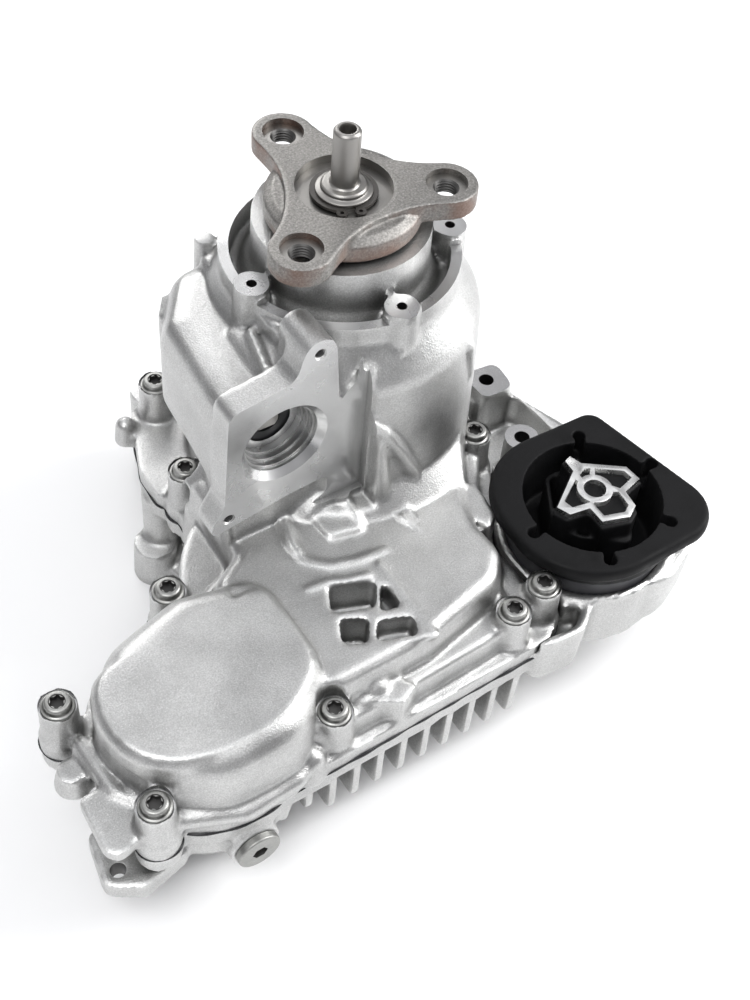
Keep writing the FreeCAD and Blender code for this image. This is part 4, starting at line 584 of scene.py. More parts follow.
@dataclass(frozen=True)
class Finish:
    """A surface finish, with its grain, its stains, and light and shade painted into its colour on edges,
    hollows and crevices.
    """

    name: str
    color: tuple[float, float, float]
    metallic: float = 1.0
    roughness: float = 0.45
    roughness_spread: float = 0.12
    grain_scale: float = 1500.0
    patch_scale: float = 26.0
    bump: float = 0.25
    bump_depth_mm: float = 0.12
    tone_spread: float = 0.14
    # Painted highlight on ridges and painted shade in hollows, from how sharply the mesh bends.
    ridge_highlight: float = 0.0
    hollow_shade: float = 0.0
    # Painted glint: light flecks of sparkle in the colour.
    glint_speckle: float = 0.0
    grit: float = 0.0
    # Painted shade in crevices, from ambient occlusion within the reach.
    crevice_shade: float = 0.0
    crevice_shade_reach_mm: float = 9.0
    stain: tuple[float, float, float] | None = None
    stain_amount: float = 0.0
    turned_rings: float = 0.0
    rings_scale: float = 2200.0
    specular: float = 0.5

    def material(self) -> bpy.types.Material:
        """Make the material once.

        Returns:
            The material with its nodes.
        """
        if self.name in bpy.data.materials:
            return bpy.data.materials[self.name]
        made = bpy.data.materials.new(self.name)
        made.use_nodes = True
        wiring = Wiring(made.node_tree)
        shader = made.node_tree.nodes["Principled BSDF"]
        grain = wiring.node("ShaderNodeGroup", node_tree=Grain.blasted())
        grain.inputs["Grain scale"].default_value = self.grain_scale
        grain.inputs["Patch scale"].default_value = self.patch_scale
        smoothest = max(0.05, self.roughness - self.roughness_spread)
        roughest = min(1.0, self.roughness + self.roughness_spread)
        for title, value in {
            "Metallic": self.metallic,
            "Specular IOR Level": self.specular,
            "Base Color": self._color(wiring, grain),
            "Roughness": wiring.ramp(grain.outputs["Tone"], 0.3, 0.7, smoothest, roughest),
            "Normal": self._relief(wiring, grain),
        }.items():
            wiring.feed(shader.inputs[title], value)
        return made

    def _shade(self, share: float) -> tuple[float, ...]:
        """The finish's colour made darker or lighter by a share, with its alpha."""
        return (*(min(1.0, part * share) for part in self.color), 1.0)

    def _color(self, wiring: Wiring, grain: bpy.types.Node) -> bpy.types.NodeSocket:
        """Vary the colour over patches, grit and stains, and paint glints, highlights on ridges, and shade
        in hollows and crevices.
        """
        patches = wiring.ramp(grain.outputs["Tone"], 0.32, 0.68)
        last = wiring.mix(patches, self._shade(1 - self.tone_spread), self._shade(1 + self.tone_spread))
        layers = []
        if self.grit:
            layers.append((wiring.ramp(grain.outputs["Fine"], 0.36, 0.64), self.grit, self._shade(0.3)))
        # Painted glints: flecks lighter than the finish.
        if self.glint_speckle:
            layers.append((grain.outputs["Glint flecks"], self.glint_speckle, self._shade(1.7)))
        # Painted shade in crevices.
        if self.crevice_shade:
            layers.append((self._crevice_shade_mask(wiring), self.crevice_shade, self._shade(0.3)))
        # Painted shade in hollows and painted highlight on ridges.
        if self.ridge_highlight or self.hollow_shade:
            edges = wiring.node("ShaderNodeGroup", node_tree=Grain.edges())
            layers.append((edges.outputs["Hollow"], self.hollow_shade, self._shade(0.35)))
            layers.append((edges.outputs["Ridge"], self.ridge_highlight, self._shade(1.35)))
        if self.stain:
            layers.append((self._stained(wiring), self.stain_amount, (*self.stain, 1.0)))
        for mask, amount, color in layers:
            if amount:
                last = wiring.mix(wiring.math("MULTIPLY", mask, amount), last, color)
        return last

    def _crevice_shade_mask(self, wiring: Wiring) -> bpy.types.NodeSocket:
        """A mask of painted shade in crevices, from ambient occlusion."""
        reach = self.crevice_shade_reach_mm * MM
        occlusion = wiring.node("ShaderNodeAmbientOcclusion", {"Distance": reach}, samples=4)
        return wiring.ramp(occlusion.outputs["AO"], 0.85, 0.3)

    @staticmethod
    def _stained(wiring: Wiring) -> bpy.types.NodeSocket:
        """A mask of upright faces, in drifting patches."""
        normal = wiring.node("ShaderNodeNewGeometry").outputs["Normal"]
        split = wiring.node("ShaderNodeSeparateXYZ", {0: normal})
        upright = wiring.ramp(wiring.math("ABSOLUTE", split.outputs["Z"]), 0.85, 0.35)
        place = wiring.node("ShaderNodeTexCoord").outputs["Object"]
        drift = wiring.ramp(wiring.noise(place, 34.0, detail=5.0), 0.42, 0.58)
        return wiring.math("MULTIPLY", upright, drift)

    def _relief(self, wiring: Wiring, grain: bpy.types.Node) -> bpy.types.NodeSocket:
        """Bump from the grain, and from turning marks where the surface is turned."""
        bump = wiring.node("ShaderNodeBump", {
            "Strength": self.bump, "Distance": self.bump_depth_mm * MM, "Height": grain.outputs["Height"],
        })
        if not self.turned_rings:
            return bump.outputs["Normal"]
        place = wiring.node("ShaderNodeTexCoord").outputs["Object"]
        drawn_out = wiring.node("ShaderNodeVectorMath", {0: place, 1: (self.rings_scale, 40.0, 40.0)},
                                operation="MULTIPLY")
        rings = wiring.node("ShaderNodeTexNoise", {"Vector": drawn_out.outputs[0], "Scale": 1.0},
                            noise_dimensions="2D")
        marks = wiring.node("ShaderNodeBump", {
            "Strength": self.turned_rings, "Distance": 0.05 * MM, "Height": rings.outputs["Fac"],
            "Normal": bump.outputs["Normal"],
        })
        return marks.outputs["Normal"]


# CAST, FORGED and ZINC paint highlights on ridges and shade in hollows and crevices into their colour;
# TURNED_FORGING paints shade in crevices; CAST, FORGED, EXTRUDED and RUBBER paint glint flecks; RUBBER
# paints highlights on ridges.
CAST = Finish("Blasted aluminium casting", (0.6, 0.6, 0.592), roughness=0.4, roughness_spread=0.06,
              bump=0.85, bump_depth_mm=0.22, ridge_highlight=0.6, hollow_shade=0.9, glint_speckle=0.35, grit=0.3,
              crevice_shade=0.85, grain_scale=1250.0)
MACHINED = Finish("Machined aluminium", (0.64, 0.64, 0.64), roughness=0.27, roughness_spread=0.06, bump=0.12,
                  bump_depth_mm=0.05, tone_spread=0.06, turned_rings=0.2)
# A dark finish painted in holes and sockets where they lie in shade.
BORE_SHADE = Finish("Shaded bore", (0.1, 0.098, 0.096), roughness=0.5, bump=0.2, bump_depth_mm=0.05,
              tone_spread=0.15)
FORGED = Finish("Blasted steel forging", (0.33, 0.32, 0.305), roughness=0.52, bump=0.95, bump_depth_mm=0.2,
                tone_spread=0.22, ridge_highlight=0.35, hollow_shade=0.6, glint_speckle=0.4, grit=0.5, crevice_shade=0.5,
                grain_scale=900.0, stain=(0.22, 0.12, 0.085), stain_amount=0.6)
TURNED_FORGING = Finish("Turned faces of the forging", (0.34, 0.33, 0.315), roughness=0.38, bump=0.2,
                        bump_depth_mm=0.06, tone_spread=0.12, crevice_shade=0.5)
TURNED_STEEL = Finish("Turned steel", (0.34, 0.33, 0.315), roughness=0.44, bump=0.2, bump_depth_mm=0.06,
                      tone_spread=0.14, turned_rings=0.3)
PHOSPHATED = Finish("Phosphated spring steel", (0.1, 0.095, 0.09), roughness=0.45, bump=0.2,
                    bump_depth_mm=0.05, tone_spread=0.2)
GEAR_STEEL = Finish("Hobbed gear steel", (0.46, 0.46, 0.46), roughness=0.33, bump=0.1, bump_depth_mm=0.05,
                    tone_spread=0.1)
BEARING_STEEL = Finish("Ground bearing steel", (0.66, 0.67, 0.68), roughness=0.18, roughness_spread=0.04,
                       bump=0.04, bump_depth_mm=0.02, tone_spread=0.04)
ZINC = Finish("Zinc-plated screw steel", (0.4, 0.4, 0.385), roughness=0.42, bump=0.4, bump_depth_mm=0.08,
              tone_spread=0.16, ridge_highlight=0.25, hollow_shade=0.5, crevice_shade=0.3, grit=0.2, patch_scale=180.0)
EXTRUDED = Finish("Sawn aluminium extrusion", (0.8, 0.8, 0.79), roughness=0.3, bump=0.2, bump_depth_mm=0.06,
                  tone_spread=0.1, glint_speckle=0.15, patch_scale=90.0)
RUBBER = Finish("Moulded black rubber", (0.005, 0.005, 0.0055), metallic=0.0, roughness=0.6,
                roughness_spread=0.14, bump=0.5, bump_depth_mm=0.15, tone_spread=0.4, ridge_highlight=0.5,
                glint_speckle=0.1, patch_scale=60.0, specular=0.17)
SEAL = Finish("Seal rubber", (0.016, 0.016, 0.017), metallic=0.0, roughness=0.4, bump=0.2,
              bump_depth_mm=0.05, tone_spread=0.2)
SEALANT = Finish("Cured black sealant", (0.018, 0.018, 0.02), metallic=0.0, roughness=0.3, bump=0.3,
                 bump_depth_mm=0.1, tone_spread=0.2, patch_scale=120.0)
SLEEVE = Finish("Black-coated sleeve", (0.045, 0.045, 0.05), metallic=0.0, roughness=0.45, bump=0.3,
                bump_depth_mm=0.08, tone_spread=0.2)
BRONZE = Finish("Sintered bronze", (0.6, 0.43, 0.22), roughness=0.4, bump=0.3, bump_depth_mm=0.05)
LINING = Finish("Friction lining", (0.2, 0.15, 0.1), metallic=0.0, roughness=0.8, bump=0.5,
                bump_depth_mm=0.1, tone_spread=0.2, grain_scale=2400.0)

NODE_FINISHES: dict[str, Finish] = {
    "forged_steel": FORGED, "phosphated_steel": PHOSPHATED, "ground_steel": TURNED_STEEL,
    "gear_steel": GEAR_STEEL, "bearing_steel": BEARING_STEEL, "zinc_steel": ZINC,
    "extruded_aluminium": EXTRUDED, "mount_rubber": RUBBER, "seal_rubber": SEAL,
    "black_sealant": SEALANT, "black_sleeve": SLEEVE, "bronze": BRONZE, "friction_lining": LINING,
    "cast_aluminium": CAST,
}


def dress(piece: bpy.types.Object, *finishes: Finish, angle: float = 32.0) -> bpy.types.Object:
    """Give a piece its finishes and smooth shading up to an edge angle in degrees."""
    piece.data.materials.clear()
    for finish in finishes:
        piece.data.materials.append(finish.material())
    pick(piece)
    bpy.ops.object.shade_smooth_by_angle(angle=math.radians(angle))
    return piece


def seat(piece: bpy.types.Object, body: Body, slot: Slot, *nodes: str) -> bpy.types.Object:
    """Let a piece ride on a body, in place of the nodes that it stands for."""
    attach(piece, body.value)
    if nodes:
        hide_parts(*nodes)
    log.info("%s: %d faces", piece.name, len(piece.data.polygons))
    return piece


@dataclass
class Sizes:
    """Places on the castings that several pieces share, in millimetres or from the frame."""

    seam: float = 62.0
    sealant: float = 0.5
    screw_seat: float = 91.5
    screw_head: float = 8.0
    rim: float = 210.0
    rim_boss: float = 215.0
    rim_boss_circle: float = 54.0
    rim_boss_bearings: tuple[float, ...] = (188.6, 269.0, 341.0, 62.0)
    actuator_face: float = -62.0
    worm_x: float = -66.3
    worm_z: float = 164.7
    stock: float = 3.0
    screws: list[Vector] = field(default_factory=list)
    front: Vector = field(default_factory=Vector)

    def read(self) -> None:
        """Take the front output's axis and the screws' places from the frame."""
        self.front = middle_of("front_output_shaft")
        self.screws = [(low + high) / 2 for low, high in loose_parts("housing_screws")]

    def screw_places(self, level: float) -> list[Vector]:
        """Points on the seam screws' axes, at a level in millimetres."""
        return [Vector((screw.x, screw.y, level * MM)) for screw in self.screws]

    def boss_places(self, level: float) -> list[Vector]:
        """Points on the axes of the rim's bosses, at a level in millimetres."""
        return [polar(self.rim_boss_circle, bearing, level) for bearing in self.rim_boss_bearings]


@dataclass(frozen=True)
class Zone:
    """A machined flat face, or a bore that may take the dark finish painted where holes lie in shade, in
    millimetres.
    """

    centre: Sequence[float]
    radius: float
    depth: float = 0.0
    axis: tuple[float, float, float] = UPWARD
    finish: int = MACHINED_INDEX

    def holds(self, centres: np.ndarray, normals: np.ndarray) -> np.ndarray:
        """Which faces lie in the zone.

        Args:
            centres: face centres in millimetres.
            normals: face normals.

        Returns:
            A mask over the faces.
        """
        axis = np.array(self.axis)
        offset = centres - np.array(self.centre)
        along = offset @ axis
        across = np.linalg.norm(offset - np.outer(along, axis), axis=1)
        facing = normals @ axis
        if not self.depth:
            return (np.abs(along) < 0.05) & (across < self.radius) & (facing > 0.7)
        inside = (along < 0.1) & (along > -self.depth - 0.1)
        return inside & (across < self.radius + 0.15) & (np.abs(facing) < 0.9)


def mark_zones(piece: bpy.types.Object, zones: Sequence[Zone]) -> None:
    """Give the faces of a piece that lie in the machined zones their zone's finish."""
    mesh = piece.data
    count = len(mesh.polygons)
    centres = np.zeros(count * 3)
    normals = np.zeros(count * 3)
    mesh.polygons.foreach_get("center", centres)
    mesh.polygons.foreach_get("normal", normals)
    centres = centres.reshape(-1, 3) / MM
    normals = normals.reshape(-1, 3)
    marked = np.zeros(count, dtype=np.int32)
    smooth = np.ones(count, dtype=bool)
    for zone in zones:
        held = zone.holds(centres, normals)
        marked[held] = zone.finish
        if not zone.depth:
            smooth &= ~held
    mesh.polygons.foreach_set("material_index", marked)
    mesh.polygons.foreach_set("use_smooth", smooth)
    mesh.update()


@dataclass
class Casting:
    """A casting that starts as its construction node: softened as cast, then machined crisp."""

    node: str
    name: str
    sizes: Sizes
    voxel: float = 1.45
    softening: int = 5
    most_triangles: int = 176000

    def build(self) -> bpy.types.Object:
        """Cast, machine and dress the piece.

        Returns:
            The finished casting, seated on the case.
        """
        piece = copy_of(self.node, self.name)
        self.add_stock(piece)
        reskin(piece, self.voxel, self.softening)
        self.thin(piece)
        self.machine(piece)
        dress(piece, CAST, MACHINED, BORE_SHADE)
        mark_zones(piece, self.machined_zones())
        return seat(piece, Body.CASE, Slot.CASTING, self.node)

    def add_stock(self, piece: bpy.types.Object) -> None:
        """Fill the machined bores and raise the machined faces."""

    def machine(self, piece: bpy.types.Object) -> None:
        """Cut the machined faces and bores."""

    def machined_zones(self) -> list[Zone]:
        """Zones whose faces are machined."""
        return []

    def thin(self, piece: bpy.types.Object) -> None:
        """Keep the mesh under its number of triangles."""
        piece.data.calc_loop_triangles()
        count = len(piece.data.loop_triangles)
        if count > self.most_triangles:
            thin_out(piece, self.most_triangles / count)


class RearCasting(Casting):
    """The bell, dome and deck."""

    ridges: tuple = (
        (((-54.3, -42.4, 102), (-63.4, -55.8, 103), (-68.3, -74.6, 103), (-68.5, -82.4, 102)), 3.8),
        (((-69.7, -84.4, 102.6), (-59.1, -94.8, 102.8), (-44.5, -99.0, 102.8), (-30.6, -99.9, 102.4)), 2.8),
        (((-7.7, -80.5, 105), (-7.2, -91.6, 103.2)), 2.0),
        (((-12.4, -87.0, 104.6), (-8.8, -97.6, 103.0)), 2.0),
        (((37.0, -58.0, 176), (42.0, -54.5, 152)), 5.0),
        (((-199, -108, 75), (-197, -137, 75), (-178, -163, 75), (-151, -174.3, 75), (-124, -172.4, 75),
          (-103, -161, 75)), 5.0),
        (((-12.6, -95.9, 99.5), (2.6, -109.0, 99.5), (14.0, -119.0, 98.5)), 3.0),
        (((-33, -78, 105), (-33, -66, 108)), 3.2),
        (((-74.9, -101.5, 103.2), (-65.4, -102.4, 103.2), (-56.5, -106.5, 103.2), (-46.0, -108.8, 103.2)),
         2.2),
        (((-37.6, -106.0, 103.4), (-36.3, -153.0, 102.2), (-82.0, -138.4, 102.0)), 2.0),
        (((8.5, -106, 92), (8.7, -150, 84)), 5.5),
        (((-61, -14, 186), (-62, -50, 187)), 9.5),
        (((-54, -28, 190), (-55, -50, 194)), 9.0),
        (((-26.5, -67.5, 162), (-30.5, -66.0, 134), (-35, -63.5, 104)), 3.6),
        (((-26.5, -67.5, 164), (-16.7, -71.1, 154), (-6.5, -72.7, 136.6), (4.7, -72.8, 112.3),
          (11.6, -76, 92)), 3.6),
    )
    pads: tuple = (
        (((-52.1, -62.9), (-50.5, -80.5), (-33.9, -84.1), (-26.8, -76.0), (-27.8, -63.7)), 96.0, 106.6),
        (((16, -86), (25, -112), (34, -106), (36, -82)), 78.0, 100.0),
        (((-84, -158), (-64, -170), (-54, -165), (-64, -150)), 74.0, 89.0),
        (((-168, -80), (-143, -75.4), (-143, -71), (-168, -75.6)), 61.0, 86.0),
        (((-81.5, 26.9), (-72.4, 40.0), (-74.9, 41.7), (-84.0, 28.6)), 152.0, 178.0),
    )
    plateau: tuple[tuple[float, float], ...] = (
        (-180.5, -95.4), (-187.5, -99.6), (-192.0, -106.0), (-194.6, -114.0), (-195.6, -122.0),
        (-195.0, -130.0), (-193.0, -138.0), (-189.4, -145.2), (-184.4, -151.4), (-178.4, -156.2),
        (-171.4, -159.8), (-163.6, -162.2), (-155.0, -163.6), (-146.0, -164.2), (-137.0, -163.8),
        (-128.4, -162.6), (-120.0, -160.4), (-112.0, -157.2), (-104.6, -153.0), (-98.6, -148.0),
        (-94.2, -142.0), (-92.2, -135.0), (-92.0, -122.0), (-92.4, -108.0), (-93.4, -96.0),
        (-96.0, -91.6), (-102.0, -91.0), (-128.0, -91.8), (-156.0, -93.4),
    )
    plateau_middle: tuple[float, float] = (-143.0, -127.0)
    plateau_foot: float = 96.0
    plateau_steps: tuple[tuple[float, float], ...] = (
        (1.0, 107.8), (0.975, 109.6), (0.95, 111.1), (0.92, 112.2),
    )
    bore_radius: float = 19.5
    bore_depth: float = 16.0
    bore_steps: tuple[tuple[float, float], ...] = ((19.5, 5.5), (18.3, 9.0), (17.2, 12.5), (16.2, 16.0))
    chamfer_radius: float = 23.0
    thread_radius: float = 2.5
    thread_depth: float = 0.45
    thread_steps: tuple[tuple[float, float], ...] = ((17.0, 49.6), (-29.9, -37.5))
    boss_radius: float = 10.5
    shank_hole: float = 4.4
    rim_ring: tuple[float, float] = (64.0, 46.0)
    neck_top: float = 228.5
    neck_rods: tuple[tuple[float, float, float, float], ...] = (
        (195.5, 43.6, 36.5, 42.6), (196.0, 49.5, 12.0, 42.8), (189.0, 55.5, 8.5, 55.5),
    )
    bead_foot: float = 196.0
    bead_radius: float = 58.4
    bead_bore: float = 53.2
    neck_bores: tuple[tuple[float, float, float], ...] = (
        (195.0, 36.03, 210.2), (209.0, 24.0, 219.0), (218.0, 32.03, 231.0),
    )

    def worm_face(self, step: float = 0.0) -> Vector:
        """The worm's axis on the actuator face, or a step behind it."""
        sizes = self.sizes
        return millimetres(sizes.worm_x, sizes.actuator_face + step, sizes.worm_z)

    def thread_places(self) -> list[Vector]:
        """The two actuator screw holes on the machined face."""
        return [self.worm_face() + millimetres(across, 0, up) for across, up in self.thread_steps]

    def add_stock(self, piece: bpy.types.Object) -> None:
        """Fill the bores and raise the faces that are machined later."""
        sizes = self.sizes
        stock = sizes.stock
        Tools.raise_face(piece, 1, sizes.actuator_face, -stock)
        Tools.raise_face(piece, 2, sizes.seam + sizes.sealant, -stock)
        Tools.raise_face(piece, 2, sizes.rim, stock)
        Tools.raise_face(piece, 2, sizes.rim_boss, stock)
        plug = self.thread_radius + 1
        plugs = [Tools.rod(self.worm_face(-stock), self.chamfer_radius + 2.5, stock + self.bore_depth - 0.4,
                           Turn.ALONG_Y)]
        plugs += [Tools.rod(place - millimetres(0, stock, 0), plug, 18, Turn.ALONG_Y)
                  for place in self.thread_places()]
        plugs += [Tools.rod(place, plug, sizes.rim_boss + stock - sizes.rim + 9)
                  for place in sizes.boss_places(sizes.rim - 9)]
        plugs += [Tools.rod(place, sizes.screw_head + 1.2, sizes.screw_seat + stock - sizes.seam + stock)
                  for place in sizes.screw_places(sizes.seam - stock)]
        plugs += self.neck_stock() + self.plateau_stock()
        for points, radius in self.ridges:
            plugs += Tools.ridge(points, radius)
        plugs += [Tools.prism(outline, foot, top) for outline, foot, top in self.pads]
        Tools.merge([piece, *plugs])

    def plateau_stock(self) -> list[bpy.types.Object]:
        """The dome's flat top with its rounded edge, as a stack of ever smaller slices."""
        return [Tools.prism(scaled(self.plateau, self.plateau_middle, share), self.plateau_foot, top)
                for share, top in self.plateau_steps]

    def neck_stock(self) -> list[bpy.types.Object]:
        """The solid neck with its flared foot, the groove's floor and the rim's inner bead."""
        sizes = self.sizes
        rods = [Tools.on_axis(foot, radius, height, far_radius=far)
                for foot, radius, height, far in self.neck_rods]
        bead = Tools.on_axis(self.bead_foot, self.bead_radius, sizes.rim + sizes.stock - self.bead_foot)
        Tools.cut(bead, Tools.on_axis(self.bead_foot - 6, self.bead_bore, 30))
        return [*rods, bead]

    def machine(self, piece: bpy.types.Object) -> None:
        """Face the flange, seam, rim and seats, and bore the holes."""
        sizes = self.sizes
        seam = sizes.seam + sizes.sealant
        face = sizes.actuator_face
        Tools.cut(piece, Tools.block(millimetres(-300, -300, seam - 20), millimetres(300, 300, seam)))
        Tools.cut(piece, Tools.block(millimetres(-125, face - 20, 112), millimetres(-22, face, 240)))
        Tools.cut(piece, *(Tools.rod(place, self.boss_radius, 6)
                           for place in sizes.boss_places(sizes.rim_boss)))
        self.face_rim(piece)
        self.bore_neck(piece)
        Tools.cut(piece, *(Tools.rod(place, sizes.screw_head + 0.9, 40)
                           for place in sizes.screw_places(sizes.screw_seat)))
        Tools.cut(piece, *(Tools.rod(place, self.shank_hole, 40, sides=24)
                           for place in sizes.screw_places(seam - 2)))
        for radius, depth in self.bore_steps:
            Tools.cut(piece, Tools.rod(self.worm_face(-1), radius, depth + 1, Turn.ALONG_Y, sides=96))
        Tools.cut(piece, Tools.rod(self.worm_face(-1), self.chamfer_radius + 1, 4.5, Turn.ALONG_Y,
                                   far_radius=self.bore_radius - 0.2, sides=96))
        threads = [thread_tool(place, self.thread_radius, self.thread_radius + self.thread_depth, 1.0, 16,
                               Turn.ALONG_Y)
                   for place in self.thread_places()]
        pins = [Tools.rod(place, self.thread_radius, 20, sides=24)
                for place in sizes.boss_places(sizes.rim - 8)]
        Tools.cut(piece, *threads, *pins)

    def face_rim(self, piece: bpy.types.Object) -> None:
        """Turn the rim flat between its bosses."""
        sizes = self.sizes
        outer, inner = self.rim_ring
        ring = Tools.on_axis(sizes.rim, outer, 6, sides=128)
        Tools.cut(ring, Tools.on_axis(sizes.rim - 1, inner, 8, sides=128))
        Tools.cut(ring, *(Tools.rod(place, self.boss_radius - 0.9, 8)
                          for place in sizes.boss_places(sizes.rim - 1)))
        Tools.cut(piece, ring)

    def bore_neck(self, piece: bpy.types.Object) -> None:
        """Face the neck and bore it for the bearing, the hub and the seal."""
        Tools.cut(piece, Tools.on_axis(self.neck_top, self.rim_ring[1], 10))
        for foot, radius, top in self.neck_bores:
            Tools.cut(piece, Tools.on_axis(foot, radius, top - foot, sides=128))

    def machined_zones(self) -> list[Zone]:
        """The faces and bores that are cut."""
        sizes = self.sizes
        seam = sizes.seam + sizes.sealant
        face = self.worm_face() / MM
        zones = [
            Zone(face, 70, axis=OUTWARD),
            Zone(face, self.chamfer_radius, self.bore_depth + 0.2, OUTWARD),
            Zone((0, 0, seam), 300, axis=DOWNWARD),
            Zone((0, 0, sizes.rim), 60),
            Zone((0, 0, sizes.rim_boss), 70),
        ]
        # The holes take the painted shade of the bore finish.
        zones += [Zone(place / MM, self.thread_radius, 17, OUTWARD, BORE_SHADE_INDEX)
                  for place in self.thread_places()]
        zones += [Zone(place / MM, self.thread_radius, 13, finish=BORE_SHADE_INDEX)
                  for place in sizes.boss_places(sizes.rim_boss)]
        zones += [Zone(place / MM, 12) for place in sizes.screw_places(sizes.screw_seat)]
        return zones


@dataclass
class Flange:
    """The forged output flange: blasted all over, then turned and tapped."""

    sizes: Sizes
    top: float = 245.5
    thickness: float = 10.5
    bolt_circle: float = 48.0
    bolt_bearings: tuple[float, ...] = (94.9, -25.1, -145.1)
    spotface_radius: float = 10.0
    spotface_depth: float = 3.2
    recess_radius: float = 23.0
    recess_depth: float = 4.5
    bore_radius: float = 13.55
    hub_bore_radius: float = 17.6
    hub_foot: float = 210.5
    hub_step: float = 213.1
    tap: tuple[float, float, float] = (5.2, 5.85, 1.5)
    countersink: tuple[float, float, float] = (5.3, 6.7, 1.4)
    hole_radius: float = 6.2

    def build(self) -> bpy.types.Object:
        """Forge, turn and tap the flange.

        Returns:
            The flange, seated on the shaft.
        """
        piece = copy_of("output_flange", "forged_flange")
        height = self.top - self.hub_foot - 1
        plugs = [Tools.on_axis(self.hub_foot + 0.3, self.recess_radius - 3, height, sides=64)]
        plugs += [Tools.rod(place, self.spotface_radius + 0.8, self.thickness - 0.5)
                  for place in self.bolt_places(self.top - self.thickness + 0.4)]
        plugs.append(Tools.on_axis(self.top - 8, self.recess_radius + 0.6, 7.8, sides=64))
        Tools.merge([piece, *plugs])
        reskin(piece, 0.8, passes=6)
        thin_out(piece, 0.55)
        self.machine(piece)
        dress(piece, FORGED, TURNED_FORGING, BORE_SHADE, angle=28.0)
        mark_zones(piece, self.machined_zones())
        return seat(piece, Body.SHAFT, Slot.FORGING, "output_flange")

    def bolt_places(self, level: float) -> list[Vector]:
        """Points on the bolt holes' axes, at a level in millimetres."""
        return [polar(self.bolt_circle, bearing, level) for bearing in self.bolt_bearings]

    def machine(self, piece: bpy.types.Object) -> None:
        """Turn the recess and bore, face the spotfaces and tap the holes."""
        foot = self.hub_foot - 4
        near, far, depth = self.countersink
        Tools.cut(piece, Tools.on_axis(self.top - self.recess_depth, self.recess_radius, 10, sides=128))
        Tools.cut(piece, Tools.on_axis(foot, self.bore_radius, 45))
        Tools.cut(piece, Tools.on_axis(foot, self.hub_bore_radius, self.hub_step - self.hub_foot + 4))
        for spotface, hole in zip(self.bolt_places(self.top - self.spotface_depth),
                                  self.bolt_places(self.top - self.thickness - 2)):
            Tools.cut(piece, Tools.rod(spotface, self.spotface_radius, 8))
            Tools.cut(piece, thread_tool(hole, *self.tap, self.thickness + 4))
            Tools.cut(piece, Tools.rod(spotface - millimetres(0, 0, 0.9), near, depth, far_radius=far))

    def machined_zones(self) -> list[Zone]:
        """The turned recess, the spotfaces and the holes."""
        zones = [Zone((0, 0, self.top - self.recess_depth), self.recess_radius),
                 Zone((0, 0, self.top), self.recess_radius + 0.2, self.recess_depth + 0.2)]
        for place in self.bolt_places(self.top - self.spotface_depth):
            zones.append(Zone(place / MM, self.spotface_radius))
            # The tapped holes take the painted shade of the bore finish.
            zones.append(Zone(place / MM, self.hole_radius, self.thickness, finish=BORE_SHADE_INDEX))
        return zones


@dataclass
class SeamScrews:
    """Button-flange screws with star sockets."""

    sizes: Sizes
    shank: float = 4.0
    tip: float = -51.5
    socket: float = 3.35
    socket_depth: float = 3.2
    lobes: int = 6
    lobe_depth: float = 0.11
    head_height: float = 5.2
    head: tuple[tuple[float, float], ...] = (
        (7.9, 0.0), (8.0, 0.15), (8.0, 1.2), (7.75, 1.55), (6.9, 1.75), (6.55, 2.1), (6.35, 3.0), (6.2, 4.1),
        (5.9, 4.7), (5.4, 5.05), (4.7, 5.2),
    )
    turn_step: float = 23.0

    def build(self) -> bpy.types.Object:
        """Make one screw and set a copy in each place.

        Returns:
            The screws as one piece.
        """
        screw = self.one()
        screws = []
        for index, place in enumerate(self.sizes.screw_places(self.sizes.screw_seat)):
            pick(screw)
            bpy.ops.object.duplicate()
            twin = bpy.context.active_object
            twin.rotation_euler = (0, 0, math.radians(self.turn_step * index))
            twin.location = place
            screws.append(settle(twin))
        bpy.data.objects.remove(screw)
        group = Tools.merge(screws)
        group.name = "seam_screws"
        # The sockets get the dark bore finish as painted shade.
        dress(group, ZINC, BORE_SHADE, angle=35.0)
        mark_zones(group, self.socket_zones())
        return seat(group, Body.CASE, Slot.SCREW, "housing_screws")

    def socket_zones(self) -> list[Zone]:
        """The floors and walls of the sockets, which take the painted shade of the bore finish in the
        screws' second slot.
        """
        top = self.sizes.screw_seat + self.head_height - 0.1
        zones = []
        for floor, rim in zip(self.sizes.screw_places(top + 0.1 - self.socket_depth),
                              self.sizes.screw_places(top)):
            zones.append(Zone(floor / MM, 3.9))
            zones.append(Zone(rim / MM, 3.7, self.socket_depth))
        return zones

    def one(self) -> bpy.types.Object:
        """One screw with its seat at the origin."""
        shank = ((self.shank - 0.6, self.tip), (self.shank, self.tip + 0.7), (self.shank, 0.0))
        screw = lathe([*shank, *self.head], sides=72)
        depth = self.socket_depth
        star = Tools.on_axis(self.head_height - depth, self.socket, depth + 1, sides=72)
        for vertex in star.data.vertices:
            angle = math.atan2(vertex.co.y, vertex.co.x)
            reach = 1 + self.lobe_depth * math.cos(self.lobes * angle)
            vertex.co.x *= reach
            vertex.co.y *= reach
        Tools.cut(screw, star)
        mouth = self.socket * 1.04
        Tools.cut(screw, Tools.on_axis(4.75, mouth, 0.8, sides=64, far_radius=mouth + 0.9))
        return screw


